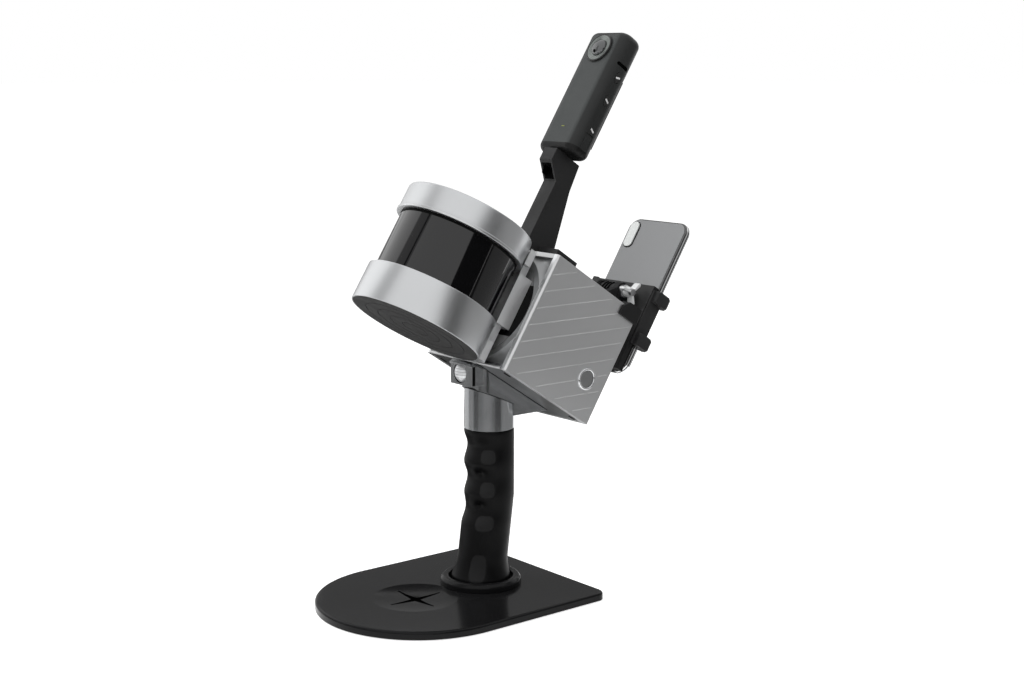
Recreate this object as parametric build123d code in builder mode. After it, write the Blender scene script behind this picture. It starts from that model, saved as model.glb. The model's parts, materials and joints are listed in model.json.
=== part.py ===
from build123d import *
import os
from math import cos, radians, sin, tan

os.makedirs("parts", exist_ok=True)

# Handheld laser scanner on its stand, in millimetres.
# +Z is up, the laser head faces -Y, the origin is under the neck on the surface the stand rests on.

# Clearances
run_gap = 0.05
slide_gap = 0.3
seat_gap = 0.1

# Stand
plate_width = 171.2
plate_thick = 6.2
plate_back = 54.4
plate_nose = 68.7
plate_corner = 9.0
plate_edge = 2.0
pad_thick = 1.0
pad_inset = 2.5
sight_ahead = 75.0
sight_radius = 34.5
sight_depth = 1.8
cross_length = 48.0
cross_width = 1.6
cross_thick = 0.4
collar_gap = 2.4
collar_wall = 5.8
collar_height = 6.8
collar_edge = 2.5
base_screw_radius = 3.1
base_screw_head = 6.5
base_screw_head_thick = 2.0
base_screw_reach = 17.0

# Grip and neck
foot_ahead = 8.7
foot_inset = 4.1
foot_sink = 2.2
foot_thick = 5.0
grip_radius = 20.5
grip_foot_flare = 3.6
grip_top = 136.6
lean_start = 80.0
flare_height = 19.0
finger_drop = 14.6
finger_pitch = 26.2
finger_count = 3
finger_round = 18.0
finger_over = 1.9
finger_set = 6.0
sleeve_wall = 6.5
core_wall = 2.8
battery_headroom = 4.35
rim_rise = 25.3
rim_slope = 23.7
cable_radius = 8.0

# Wedge and its front button
wedge_inset = 4.5
wedge_set = 1.5
wedge_round = 7.0
tail_rise = 9.8
boss_step = 2.1
boss_proud = 3.9675
boss_rise = 38.4
boss_height = 16.0
boss_edge = 2.0
start_radius = 8.0
start_rise = 48.0
start_proud = 1.2
start_travel = 1.5
start_length = 4.8

# Scanner box, in the frame of the tilted head
head_tilt = 32.81
head_y = 2.28
seat_rise = 41.187
box_half = 50.8
box_depth = 102.8
box_top_over = 0.9
box_bottom_under = 0.1
side_thick = 5.1
wall_thick = 3.8
side_edge = 1.5
lip_ahead = 1.0
slot_width = 2.0
slot_length = 8.5
slot_set = 1.2
slot_back_set = 12.8
groove_first = 33.0
groove_pitch = 12.5
groove_count = 10
groove_width = 0.6
groove_deep = 0.5
groove_margin = 3.0
back_screw_radius = 0.9
back_screw_head = 1.5
back_screw_sink = 1.6
back_screw_length = 9.0
back_screw_inset = 7.7

# Power button
power_inset = 21.2
power_height = -19.1
bezel_radius = 9.0
bezel_barrel = 8.0
bezel_bore = 7.1
bezel_proud = 0.8
bezel_inside = 1.0
power_radius = 6.85
power_proud = 0.3
power_length = 9.0

# Front cover, turntable and drive
cover_set = 0.5
cover_thick = 6.0
cove_out = 14.2
cove_round = 12.0
cove_deep = 3.5
turntable_side_gap = 1.9
turntable_rim_gap = 0.5
turntable_back_gap = 1.0
flange_thick = 3.5
housing_radius = 24.0
housing_length = 46.0
bearing_radius = 21.0
bearing_bore = 15.0
bearing_width = 8.0
spindle_bore = 9.0
spindle_past = 4.0
stator_bore = 18.6
magnet_radius = 18.2
motor_length = 22.0
ring_wall = 3.5
ring_core_radius = 6.0
ring_length = 14.0
port_width = 12.0
port_height = 6.5
port_rise = 10.9
port_depth = 7.0
port_wall = 1.5

# Circuit boards
board_thick = 1.6
board_side_gap = 7.7
board_post = 3.0
board_lift = 5.4
main_board_front = 16.0
main_board_end_gap = 14.8
post_inset = 5.0
computer_drop = 7.9
computer_height = 62.0
chip_side = 16.0
chip_thick = 2.5
chip_spread = 22.0
chip_inset = 20.0

# Yoke
yoke_rim = 10.0
yoke_low = -18.3
yoke_high = 25.6
spine_step = 3.8
spine_back = 4.5
spine_front = 12.0
lug_step = 1.2
lug_back = 8.5
lug_front = 19.2
top_lug_drop = 3.05
top_lug_height = 13.5
bottom_lug_rise = 0.6
bottom_lug_height = 17.1
yoke_block_front = 18.0
yoke_screw_radius = 1.6
yoke_screw_head = 3.0
yoke_screw_sink = 3.0
yoke_screw_length = 9.0
yoke_screw_inset = 7.8
yoke_screw_u = 10.0

# Laser head
laser_gap = 2.6
laser_past_box = 4.1
laser_below_box = 0.4
laser_top_gap = 0.75
base_ring_height = 31.3
crown_height = 21.65
crown_step = 1.2
window_step = 4.95
window_wall = 3.2
laser_wall = 7.9
laser_floor = 5.2
laser_roof = 4.0
laser_edge = 1.0
disc_inset = 1.3
disc_thick = 2.0
disc_rings = 4
disc_ring_pitch = 10.5
disc_ring_width = 0.7
disc_ring_deep = 0.4
rotor_side_gap = 9.0
rotor_roof_gap = 3.0
post_radius = 5.0
post_top_gap = 12.0
optic_radius = 11.0
optic_depth = 18.0
optic_proud = 1.0
optic_high = 13.0
optic_low = -15.0

# Camera arm
arm_half = 7.7
arm_front = 1.0
arm_foot_depth = 32.0
arm_neck_depth = 16.5
arm_knee_rise = 63.3
head_low_rise = 75.7
head_front = 14.8
head_back = 14.0
arm_flange_half = 30.0
arm_flange_front = 14.0
arm_flange_back = 38.0
arm_flange_thick = 10.3
arm_screw_radius = 2.0
arm_screw_head = 3.5
arm_screw_sink = 4.0
arm_screw_x = 22.0
arm_screw_near = 20.0
arm_screw_far = 32.0
pocket_half = 5.8
pocket_near = 2.5
pocket_far = 12.5
pocket_roof = 5.35
camera_screw_radius = 3.1
camera_screw_knob = 4.5
camera_screw_knob_thick = 4.0
camera_screw_reach = 6.0

# Camera
camera_rise = 86.65
camera_height = 114.0
camera_width = 46.1
camera_depth = 24.4
camera_ahead = 1.8
camera_round = 10.0
camera_edge = 6.0
lens_drop = 16.4
lens_ring_radius = 12.5
lens_radius = 9.0
lens_ring_proud = 2.0
lens_dome = 6.0
screen_half = 17.0
screen_low = 14.0
screen_lens_gap = 7.1
screen_thick = 0.6
screen_sink = 0.3
microphone_drop = 27.8
microphone_length = 13.0
microphone_width = 3.2
microphone_deep = 0.8
camera_button_width = 4.6
camera_button_length = 9.0
camera_button_proud = 0.5
camera_button_sink = 2.0
camera_button_travel = 0.4
power_key_drop = 39.0
mode_key_drop = 61.0
door_low = 5.5
door_height = 15.0
door_width = 8.0
door_thick = 1.5
door_face = 0.3

# Phone bracket, clamp and knob
bracket_wrap = 19.8
bracket_wall = 1.5
bracket_drop = 9.7
bracket_over = 3.8
bracket_cheek = 2.0
bracket_cut = 6.0
pivot_behind = 7.2
pivot_rise = 21.0
pivot_radius = 3.0
ear_radius = 7.0
ear_in = 8.0
ear_out = 14.0
ear_root = 18.0
bolt_head = 5.0
bolt_head_thick = 3.0
knob_hub = 5.5
knob_length = 9.0
knob_set = 4.0
knob_reach = 11.0
knob_lobe = 2.6
knob_lobes = 3
knob_turn = 67.0
tongue_radius = 6.5
clamp_behind = 18.7
clamp_drop = 64.7
clamp_over = 13.3
clamp_pad_thick = 2.0
jaw_thick = 6.2
jaw_lip = 5.0
jaw_lip_in = 4.0
jaw_drop = 40.7
jaw_over = 14.3
finger_height = 13.0
jaw_wall_depth = 9.0
rail_radius = 1.4
rail_length = 50.0
rail_drop = 24.7
rail_over = 9.3
tooth_count = 3
tooth_inset = 5.45
tooth_over = 7.3
tooth_length = 10.0
tooth_width = 2.0
tooth_pitch = 7.0
tooth_deep = 0.7
tooth_slant = 35.0
pad_rib_pitch = 3.0
pad_rib_width = 1.2
pad_rib_deep = 0.8

# Phone
phone_width = 70.9
phone_height = 143.6
phone_thick = 7.7
phone_drop = 65.6
phone_behind = 25.3
phone_round = 11.0
phone_edge = 2.5
glass_thick = 0.7
glass_inset = 1.6
bump_width = 13.0
bump_length = 26.0
bump_proud = 1.4
bump_inset = 8.45
bump_drop = 16.7

# Box and planes of the tilted head: LEVEL looks up it, FRONT looks ahead, SIDE looks to the right
tilt_sin = sin(radians(head_tilt))
tilt_cos = cos(radians(head_tilt))
box_top = box_half + box_top_over
box_bottom = box_half - box_bottom_under
head_z = grip_top + seat_rise + (box_bottom - head_y * tilt_sin) / tilt_cos
head_origin = (0, head_y, head_z)
LEVEL = Plane(origin=head_origin, x_dir=(1, 0, 0), z_dir=(0, tilt_sin, tilt_cos))
FRONT = Plane(origin=head_origin, x_dir=(1, 0, 0), z_dir=(0, -tilt_cos, tilt_sin))
SIDE = Plane(origin=head_origin, x_dir=(0, tilt_cos, -tilt_sin), z_dir=(1, 0, 0))

# Stand, grip and wedge, worked out from the sizes above
plate_top = pad_thick + plate_thick
grip_foot_radius = grip_radius + grip_foot_flare
foot_radius = grip_foot_radius - foot_inset
collar_bore = grip_foot_radius + collar_gap
collar_radius = collar_bore + collar_wall
finger_waist = grip_radius + finger_over
core_radius = grip_radius - sleeve_wall
battery_radius = core_radius - core_wall
wedge_half = grip_radius - wedge_inset
wedge_ahead = grip_radius - wedge_set
boss_half = wedge_half - boss_step
boss_ahead = box_bottom * tilt_sin + lip_ahead * tilt_cos - head_y + boss_proud
tail_height = grip_top + tail_rise
finger_top = grip_top - finger_drop
rim_height = grip_top + rim_rise
boss_low = grip_top + boss_rise
boss_high = boss_low + boss_height
start_height = grip_top + start_rise
foot_floor = plate_top - foot_sink
lean_end = plate_top + collar_height

# What is in the box and turns in front of it, worked out from the sizes above
inner_half = box_half - side_thick
turntable_radius = inner_half - turntable_side_gap
cove_radius = turntable_radius + cove_out
yoke_half = turntable_radius - yoke_rim
spine_half = yoke_half - spine_step
lug_half = yoke_half + lug_step
yoke_screw_x = yoke_half - yoke_screw_inset
board_half = inner_half - board_side_gap
back_screw_spread = inner_half - back_screw_inset
floor_u = wall_thick - box_bottom
ceiling_u = box_top - wall_thick
port_centre = floor_u + port_rise
computer_high = ceiling_u - computer_drop
computer_low = computer_high - computer_height
back_wall = box_depth - wall_thick
power_depth = box_depth - power_inset
main_board_back = box_depth - main_board_end_gap
flange_front = cover_set + cover_thick + turntable_back_gap
housing_end = flange_front + housing_length
spindle_radius = bearing_bore - run_gap
spindle_end = housing_end + spindle_past
laser_radius = box_half + laser_past_box
laser_low = -box_half - laser_below_box
laser_high = box_half - laser_top_gap
window_low = laser_low + base_ring_height
window_high = laser_high - crown_height
top_lug_high = laser_high - top_lug_drop
top_lug_low = top_lug_high - top_lug_height
bottom_lug_low = laser_low + bottom_lug_rise
bottom_lug_high = bottom_lug_low + bottom_lug_height
laser_ahead = laser_radius + laser_gap
laser_bore = laser_radius - laser_wall
crown_radius = laser_radius - crown_step
window_radius = laser_radius - window_step
disc_radius = laser_radius - disc_inset
rotor_radius = laser_bore - rotor_side_gap
laser_base_floor = laser_low + disc_thick + laser_floor

# Camera on its arm, worked out from the sizes above
arm_knee = box_top + arm_knee_rise
head_low = box_top + head_low_rise
camera_base = box_top + camera_rise
pocket_high = camera_base - pocket_roof
camera_face = camera_ahead + camera_depth / 2
camera_rear = camera_depth / 2 - camera_ahead
lens_u = camera_base + camera_height - lens_drop
screen_high = camera_height - lens_drop - lens_ring_radius - screen_lens_gap

# Bracket, clamp and phone, worked out from the sizes above
bracket_front = box_depth - bracket_wrap
bracket_back = box_depth + bracket_wall
bracket_low = box_top - bracket_drop
bracket_top = box_top + bracket_over
pivot_depth = box_depth + pivot_behind
pivot_height = box_top + pivot_rise
clamp_front = box_depth + clamp_behind
clamp_low = pivot_height - clamp_drop
clamp_high = pivot_height + clamp_over
jaw_low = pivot_height - jaw_drop
jaw_high = pivot_height + jaw_over
rail_low = pivot_height - rail_drop
rail_high = pivot_height + rail_over
tooth_height = pivot_height + tooth_over
phone_back = box_depth + phone_behind
phone_low = pivot_height - phone_drop
phone_half = phone_width / 2
bump_height = phone_low + phone_height - bump_drop
bump_x = bump_inset - phone_half
clamp_face = phone_back - clamp_pad_thick
jaw_inner = phone_half + slide_gap


def block(x, y, z, mode=Mode.ADD):
    """Box between three pairs of limits, in the plane of the current part."""
    with Locations((sum(x) / 2, sum(y) / 2, sum(z) / 2)):
        Box(x[1] - x[0], y[1] - y[0], z[1] - z[0], mode=mode)


def ring(outer, inner):
    """Flat ring in the current sketch."""
    Circle(outer)
    Circle(inner, mode=Mode.SUBTRACT)


def save(piece, label):
    """Name a finished piece and write it to its own file."""
    piece.part.label = label
    export_step(piece.part, f"parts/{label}.step")


def lean(z):
    """How far ahead of the neck's axis the grip's centre lies at a height."""
    share = (lean_start - z) / (lean_start - lean_end)
    return foot_ahead * min(max(share, 0), 1)


def grip_radius_at(z):
    """Radius of the grip at a height, wider towards its foot."""
    flare = (lean_end + flare_height - z) / flare_height
    return grip_radius + (grip_foot_radius - grip_radius) * min(max(flare, 0), 1) ** 2


def rim_at(y):
    """Height of the slanted seam between neck and wedge."""
    return rim_height - y * tan(radians(rim_slope))


def under_box(y):
    """Height of the box's underside."""
    return head_z - (box_bottom + (y - head_y) * tilt_sin) / tilt_cos


def leaning_rod(radius, bottom, top):
    """Straight rod above the knee that leans forward below it."""
    with BuildPart() as rod:
        for z in (bottom, lean_end, lean_start, top):
            with BuildSketch(Plane.XY.offset(z)):
                with Locations((0, -lean(z))):
                    Circle(radius)
        loft(ruled=True)
    return rod.part


def plate_outline(inset):
    """Outline of the stand, flat at the back and half round at the front."""
    half = plate_width / 2 - inset
    with BuildSketch(Plane.XY) as outline:
        with Locations((0, (plate_back - inset - plate_nose) / 2)):
            Rectangle(2 * half, plate_back - inset + plate_nose)
        fillet(outline.vertices().group_by(Axis.Y)[-1], plate_corner)
        with Locations((0, -plate_nose)):
            Circle(half)
    return outline.sketch


# Stand
with BuildPart() as base_pad:
    add(plate_outline(pad_inset))
    extrude(amount=pad_thick)
save(base_pad, "base_pad")

with BuildPart() as base_plate:
    with BuildSketch(Plane.XY.offset(pad_thick)):
        add(plate_outline(0))
    extrude(amount=plate_thick)
    fillet(base_plate.faces().sort_by(Axis.Z)[-1].edges(), plate_edge)
    with BuildSketch(Plane.XY.offset(plate_top)):
        with Locations((0, -sight_ahead)):
            Circle(sight_radius)
    extrude(amount=-sight_depth, mode=Mode.SUBTRACT)
    with BuildSketch(Plane.XY.offset(plate_top)):
        with Locations((0, -foot_ahead)):
            Circle(foot_radius + slide_gap)
    extrude(amount=-foot_sink, mode=Mode.SUBTRACT)
    with Locations(Plane(origin=(0, -foot_ahead, pad_thick), z_dir=(0, 0, -1))):
        CounterBoreHole(
            base_screw_radius + seat_gap,
            base_screw_head + seat_gap,
            base_screw_head_thick + seat_gap,
            depth=plate_thick,
        )
save(base_plate, "base_plate")

with BuildPart() as sight_cross:
    with BuildSketch(Plane.XY.offset(plate_top - sight_depth)):
        with Locations((0, -sight_ahead)):
            Rectangle(cross_length, cross_width)
            Rectangle(cross_width, cross_length)
    extrude(amount=cross_thick)
save(sight_cross, "sight_cross")

with BuildPart() as base_collar:
    with BuildSketch(Plane.XY.offset(plate_top)):
        with Locations((0, -foot_ahead)):
            ring(collar_radius, collar_bore)
    extrude(amount=collar_height)
    fillet(base_collar.faces().sort_by(Axis.Z)[-1].edges(), collar_edge)
save(base_collar, "base_collar")

with BuildPart() as base_screw:
    with BuildSketch(Plane.XY.offset(pad_thick)):
        with Locations((0, -foot_ahead)):
            Circle(base_screw_head)
    extrude(amount=base_screw_head_thick)
    with BuildSketch(Plane.XY.offset(pad_thick)):
        with Locations((0, -foot_ahead)):
            Circle(base_screw_radius)
    extrude(amount=plate_thick + base_screw_reach)
save(base_screw, "base_screw")

# Grip
battery_floor = lean_start + seat_gap
core_top = rim_at(core_radius) - slide_gap
battery_length = core_top - battery_floor - battery_headroom
sleeve_bottom = plate_top + slide_gap
core_stem = leaning_rod(core_radius, foot_floor, core_top)
core_room = leaning_rod(core_radius + seat_gap, sleeve_bottom, grip_top)

with BuildPart() as grip_core:
    add(core_stem)
    with BuildSketch(Plane.XY.offset(foot_floor)):
        with Locations((0, -foot_ahead)):
            Circle(foot_radius)
    extrude(amount=foot_thick)
    with BuildSketch(Plane.XY.offset(core_top)):
        Circle(battery_radius + seat_gap)
    extrude(amount=battery_floor - core_top, mode=Mode.SUBTRACT)
    with BuildSketch(Plane.XY.offset(foot_floor)):
        with Locations((0, -foot_ahead)):
            Circle(base_screw_radius + run_gap)
    extrude(amount=base_screw_reach + foot_sink + slide_gap, mode=Mode.SUBTRACT)
save(grip_core, "grip_core")

with BuildPart() as battery_pack:
    with BuildSketch(Plane.XY.offset(battery_floor)):
        Circle(battery_radius)
    extrude(amount=battery_length)
    fillet(battery_pack.edges().filter_by(GeomType.CIRCLE), seat_gap * 5)
save(battery_pack, "battery_pack")

sleeve_steps = 12
with BuildPart() as grip_sleeve:
    for step in range(sleeve_steps + 1):
        z = sleeve_bottom + (grip_top - sleeve_bottom) * step / sleeve_steps
        with BuildSketch(Plane.XY.offset(z)):
            with Locations((0, -lean(z))):
                Circle(grip_radius_at(z))
    loft()
    for finger in range(finger_count):
        z = finger_top - finger * finger_pitch
        with Locations((0, finger_set - lean(z), z)):
            Torus(finger_waist + finger_round, finger_round, mode=Mode.SUBTRACT)
    add(core_room, mode=Mode.SUBTRACT)
    with BuildSketch(Plane.XY.offset(sleeve_bottom)):
        with Locations((0, -foot_ahead)):
            Circle(foot_radius + seat_gap)
    extrude(amount=foot_floor + foot_thick + seat_gap - sleeve_bottom, mode=Mode.SUBTRACT)
save(grip_sleeve, "grip_sleeve")

# Neck and wedge
rim_plane = Plane(
    origin=(0, 0, rim_height),
    x_dir=(1, 0, 0),
    z_dir=(0, sin(radians(rim_slope)), cos(radians(rim_slope))),
)
neck_length = rim_at(-grip_radius) - grip_top

with BuildPart() as neck_body:
    with BuildSketch(Plane.XY.offset(grip_top)):
        Circle(grip_radius)
    extrude(amount=neck_length)
    split(bisect_by=rim_plane, keep=Keep.BOTTOM)

with BuildPart() as neck:
    add(neck_body.part)
    with BuildSketch(Plane.XY.offset(grip_top)):
        Circle(core_radius + seat_gap)
    extrude(amount=neck_length, mode=Mode.SUBTRACT)
save(neck, "neck")

tail_tip = head_y - (box_bottom + (tail_height - head_z) * tilt_cos) / tilt_sin
BOSS = Plane(origin=(0, -boss_ahead, start_height), x_dir=(1, 0, 0), z_dir=(0, 1, 0))
with BuildPart() as wedge_adapter:
    with BuildSketch(Plane.YZ):
        with BuildLine():
            Polyline(
                (-wedge_ahead, rim_at(-wedge_ahead)),
                (0, rim_height),
                (0, tail_height),
                (tail_tip, tail_height),
                (-wedge_ahead, under_box(-wedge_ahead)),
                close=True,
            )
        make_face()
    extrude(amount=wedge_half, both=True)
    fillet(wedge_adapter.edges().filter_by(Axis.Z).group_by(Axis.Y)[0], wedge_round)
    with BuildSketch(Plane.XY.offset(boss_low)):
        with Locations((0, -(boss_ahead + wedge_ahead - wedge_round) / 2)):
            Rectangle(2 * boss_half, boss_ahead - wedge_ahead + wedge_round)
    extrude(amount=boss_high - boss_low)
    chamfer(wedge_adapter.edges().filter_by(Axis.Z).group_by(Axis.Y)[0], boss_edge)
    split(bisect_by=LEVEL.offset(-box_bottom), keep=Keep.BOTTOM)
    add(neck_body.part, mode=Mode.SUBTRACT)
    with BuildSketch(Plane.XY.offset(tail_height)):
        Circle(cable_radius)
    extrude(amount=head_z - tail_height, mode=Mode.SUBTRACT)
    with BuildSketch(BOSS):
        Circle(start_radius + slide_gap)
    extrude(amount=start_length - start_proud + start_travel + slide_gap, mode=Mode.SUBTRACT)
save(wedge_adapter, "wedge_adapter")

with BuildPart() as start_button:
    with BuildSketch(BOSS.offset(-start_proud)):
        Circle(start_radius)
    extrude(amount=start_length)
    chamfer(start_button.faces().sort_by(Axis.Y)[0].edges(), start_proud / 2)
save(start_button, "start_button")


# Box
def side_blank(side):
    """Plain side panel, at the right for 1 and at the left for -1, with its front edge bevelled."""
    outer = side * box_half
    with BuildPart() as blank:
        with BuildSketch(SIDE.offset(side * inner_half)):
            with Locations((box_depth / 2, (box_top - box_bottom) / 2)):
                Rectangle(box_depth, box_top + box_bottom)
        extrude(amount=outer - side * inner_half)
        face = blank.faces().sort_by(Axis.X)[-1 if side > 0 else 0]
        chamfer(face.edges().sort_by(Axis(head_origin, FRONT.z_dir))[-1], side_edge)
    return blank.part


def groove_sketch(side, around_button):
    """Level grooves on the outer face of a side panel."""
    slope = radians(head_tilt)
    with BuildSketch(SIDE.offset(side * box_half)) as grooves:
        for count in range(groove_count):
            height = groove_first - count * groove_pitch / cos(slope)
            with Locations((box_depth / 2, height + box_depth / 2 * tan(slope))):
                Rectangle(3 * box_depth, groove_width, rotation=head_tilt)
        with Locations((box_depth / 2, (box_top - box_bottom) / 2)):
            Rectangle(
                box_depth - 2 * groove_margin,
                box_top + box_bottom - 2 * groove_margin,
                mode=Mode.INTERSECT,
            )
        if around_button:
            with Locations((power_depth, power_height)):
                Circle(bezel_radius + groove_margin, mode=Mode.SUBTRACT)
    return grooves.sketch


right_blank = side_blank(1)
left_blank = side_blank(-1)
right_grooves = groove_sketch(1, True)
left_grooves = groove_sketch(-1, False)

with BuildPart() as right_panel:
    add(right_blank)
    extrude(right_grooves, amount=-groove_deep, mode=Mode.SUBTRACT)
    with BuildSketch(SIDE.offset(box_half)):
        with Locations((power_depth, power_height)):
            Circle(bezel_barrel + seat_gap)
    extrude(amount=-side_thick, mode=Mode.SUBTRACT)
save(right_panel, "right_panel")

with BuildPart() as left_panel:
    add(left_blank)
    extrude(left_grooves, amount=groove_deep, mode=Mode.SUBTRACT)
save(left_panel, "left_panel")

# Screws that hold the back plate to the edges of the top and bottom plates
screw_us = (wall_thick / 2 - box_bottom, box_top - wall_thick / 2)
back_screw_spots = [(x, u) for x in (-back_screw_spread, back_screw_spread) for u in screw_us]


def back_screw_set(radius, head, length):
    """Four flat-headed screws, or the room for them, in the back of the box."""
    with BuildPart() as screws:
        with BuildSketch(FRONT.offset(-box_depth)):
            with Locations(*back_screw_spots):
                Circle(head)
        extrude(amount=back_screw_sink)
        with BuildSketch(FRONT.offset(-box_depth)):
            with Locations(*back_screw_spots):
                Circle(radius)
        extrude(amount=length)
    return screws


back_screw_room = back_screw_set(
    back_screw_radius + seat_gap, back_screw_head + seat_gap, back_screw_length + seat_gap
).part

with BuildPart(LEVEL) as bottom_blank:
    block((-inner_half, inner_half), (-lip_ahead, back_wall), (-box_bottom, floor_u))
    for side in (-1, 1):
        edge = sorted((side * inner_half, side * (inner_half - slot_width)))
        for start in (slot_set, back_wall - slot_back_set):
            block(edge, (start, start + slot_length), (-box_bottom, floor_u), mode=Mode.SUBTRACT)
    with BuildSketch(Plane.XY.offset(tail_height)):
        Circle(cable_radius)
    extrude(amount=head_z - tail_height, mode=Mode.SUBTRACT)
    with BuildSketch(LEVEL.offset(floor_u)):
        for x in (post_inset - board_half, board_half - post_inset):
            with Locations((x, main_board_front + post_inset), (x, main_board_back - post_inset)):
                Circle(board_post)
    extrude(amount=board_lift)

with BuildPart() as bottom_plate:
    add(bottom_blank.part)
    add(back_screw_room, mode=Mode.SUBTRACT)
save(bottom_plate, "bottom_plate")

arm_screw_spots = [(x, d) for x in (-arm_screw_x, arm_screw_x) for d in (arm_screw_near, arm_screw_far)]
with BuildPart(LEVEL) as top_blank:
    block((-inner_half, inner_half), (0, back_wall), (ceiling_u, box_top))
    with BuildSketch(LEVEL.offset(box_top)):
        with Locations(*arm_screw_spots):
            Circle(arm_screw_radius + seat_gap)
    extrude(amount=-wall_thick, mode=Mode.SUBTRACT)

with BuildPart() as top_plate:
    add(top_blank.part)
    add(back_screw_room, mode=Mode.SUBTRACT)
save(top_plate, "top_plate")

with BuildPart(FRONT) as back_blank:
    block((-inner_half, inner_half), (-box_bottom, box_top), (-box_depth, -back_wall))
    block(
        (-port_width / 2, port_width / 2),
        (port_centre - port_height / 2, port_centre + port_height / 2),
        (-box_depth, -back_wall),
        mode=Mode.SUBTRACT,
    )
    with BuildSketch(FRONT.offset(-back_wall)):
        for x in (post_inset - board_half, board_half - post_inset):
            with Locations((x, computer_low + post_inset), (x, computer_high - post_inset)):
                Circle(board_post)
    extrude(amount=board_lift)

with BuildPart() as back_plate:
    add(back_blank.part)
    add(back_screw_room, mode=Mode.SUBTRACT)
save(back_plate, "back_plate")

back_screws = back_screw_set(back_screw_radius, back_screw_head, back_screw_length)
save(back_screws, "back_screws")

with BuildPart(FRONT) as data_port:
    width = port_width / 2 - seat_gap
    low = port_centre - port_height / 2 + seat_gap
    high = port_centre + port_height / 2 - seat_gap
    block((-width, width), (low, high), (-box_depth, port_depth - box_depth))
    block(
        (port_wall - width, width - port_wall),
        (low + port_wall, high - port_wall),
        (-box_depth, port_depth - port_wall - box_depth),
        mode=Mode.SUBTRACT,
    )
    block(
        (2 * port_wall - width, width - 2 * port_wall),
        (port_centre - port_wall / 4, port_centre + port_wall / 4),
        (port_wall - box_depth, port_depth - box_depth),
    )
save(data_port, "data_port")

power_centre = (power_depth, power_height)
bezel_inner_x = inner_half - bezel_inside
with BuildPart() as button_bezel:
    with BuildSketch(SIDE.offset(bezel_inner_x)):
        with Locations(power_centre):
            ring(bezel_barrel, bezel_bore)
    extrude(amount=side_thick + bezel_inside)
    with BuildSketch(SIDE.offset(box_half)):
        with Locations(power_centre):
            ring(bezel_radius, bezel_bore)
    extrude(amount=bezel_proud)
    chamfer(button_bezel.faces().sort_by(Axis.X)[-1].edges().sort_by(SortBy.RADIUS)[-1], bezel_proud / 2)
save(button_bezel, "button_bezel")

with BuildPart() as power_button:
    with BuildSketch(SIDE.offset(box_half + power_proud)):
        with Locations(power_centre):
            Circle(power_radius)
    extrude(amount=-power_length)
    fillet(power_button.faces().sort_by(Axis.X)[-1].edges(), power_proud)
save(power_button, "power_button")


def board(plane, low, high):
    """Circuit board on a plane, from low to high, with three chips on its face."""
    half = chip_side / 2
    with BuildPart(plane) as piece:
        block((-board_half, board_half), (low, high), (0, board_thick))
        spots = ((-chip_spread, low + chip_inset), (chip_spread, low + chip_inset), (0, high - chip_inset))
        for x, y in spots:
            block((x - half, x + half), (y - half, y + half), (board_thick, board_thick + chip_thick))
    return piece


main_board = board(LEVEL.offset(floor_u + board_lift), main_board_front, main_board_back)
save(main_board, "main_board")

computer_board = board(FRONT.offset(board_lift - back_wall), computer_low, computer_high)
save(computer_board, "computer_board")

# Front cover and drive of the turntable
with BuildPart(FRONT) as front_cover:
    block((-inner_half, inner_half), (floor_u, ceiling_u), (-cover_set - cover_thick, -cover_set))
    with Locations((0, 0, cove_round - cove_deep - cover_set)):
        Torus(cove_radius, cove_round, mode=Mode.SUBTRACT)
    Cylinder(turntable_radius + turntable_rim_gap, box_depth, mode=Mode.SUBTRACT)
save(front_cover, "front_cover")

with BuildPart(FRONT) as bearing_housing:
    block((-inner_half, inner_half), (floor_u, ceiling_u), (-flange_front - flange_thick, -flange_front))
    with BuildSketch(FRONT.offset(-flange_front)):
        Circle(housing_radius)
    extrude(amount=-housing_length)
    with BuildSketch(FRONT.offset(-flange_front)):
        Circle(bearing_radius + run_gap)
    extrude(amount=-housing_length, mode=Mode.SUBTRACT)
save(bearing_housing, "bearing_housing")

bearing_starts = (flange_front, housing_end - bearing_width)
with BuildPart() as spindle_bearings:
    for start in bearing_starts:
        with BuildSketch(FRONT.offset(-start)):
            ring(bearing_radius, bearing_bore)
        extrude(amount=-bearing_width)
save(spindle_bearings, "spindle_bearings")

motor_start = (flange_front + housing_end - motor_length) / 2
with BuildPart() as motor_stator:
    with BuildSketch(FRONT.offset(-motor_start)):
        ring(bearing_radius, stator_bore)
    extrude(amount=-motor_length)
save(motor_stator, "motor_stator")

with BuildPart() as motor_rotor:
    with BuildSketch(FRONT.offset(-motor_start)):
        ring(magnet_radius, spindle_radius)
    extrude(amount=-motor_length)
save(motor_rotor, "motor_rotor")

disc_back = cover_set + cover_thick
screw_spots = [(x, u) for x in (-yoke_screw_x, yoke_screw_x) for u in (-yoke_screw_u, yoke_screw_u)]
with BuildPart() as turntable_disc:
    with BuildSketch(FRONT.offset(-cover_set)):
        Circle(turntable_radius)
    extrude(amount=-cover_thick)
    with BuildSketch(FRONT.offset(-cover_set)):
        with Locations(*screw_spots):
            Circle(yoke_screw_radius + seat_gap)
    extrude(amount=-cover_thick, mode=Mode.SUBTRACT)
    with BuildSketch(FRONT.offset(-disc_back)):
        with Locations(*screw_spots):
            Circle(yoke_screw_head + seat_gap)
    extrude(amount=yoke_screw_sink, mode=Mode.SUBTRACT)
save(turntable_disc, "turntable_disc")

with BuildPart() as spindle:
    with BuildSketch(FRONT.offset(-disc_back)):
        ring(spindle_radius, spindle_bore)
    extrude(amount=disc_back - spindle_end)
save(spindle, "spindle")

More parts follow.
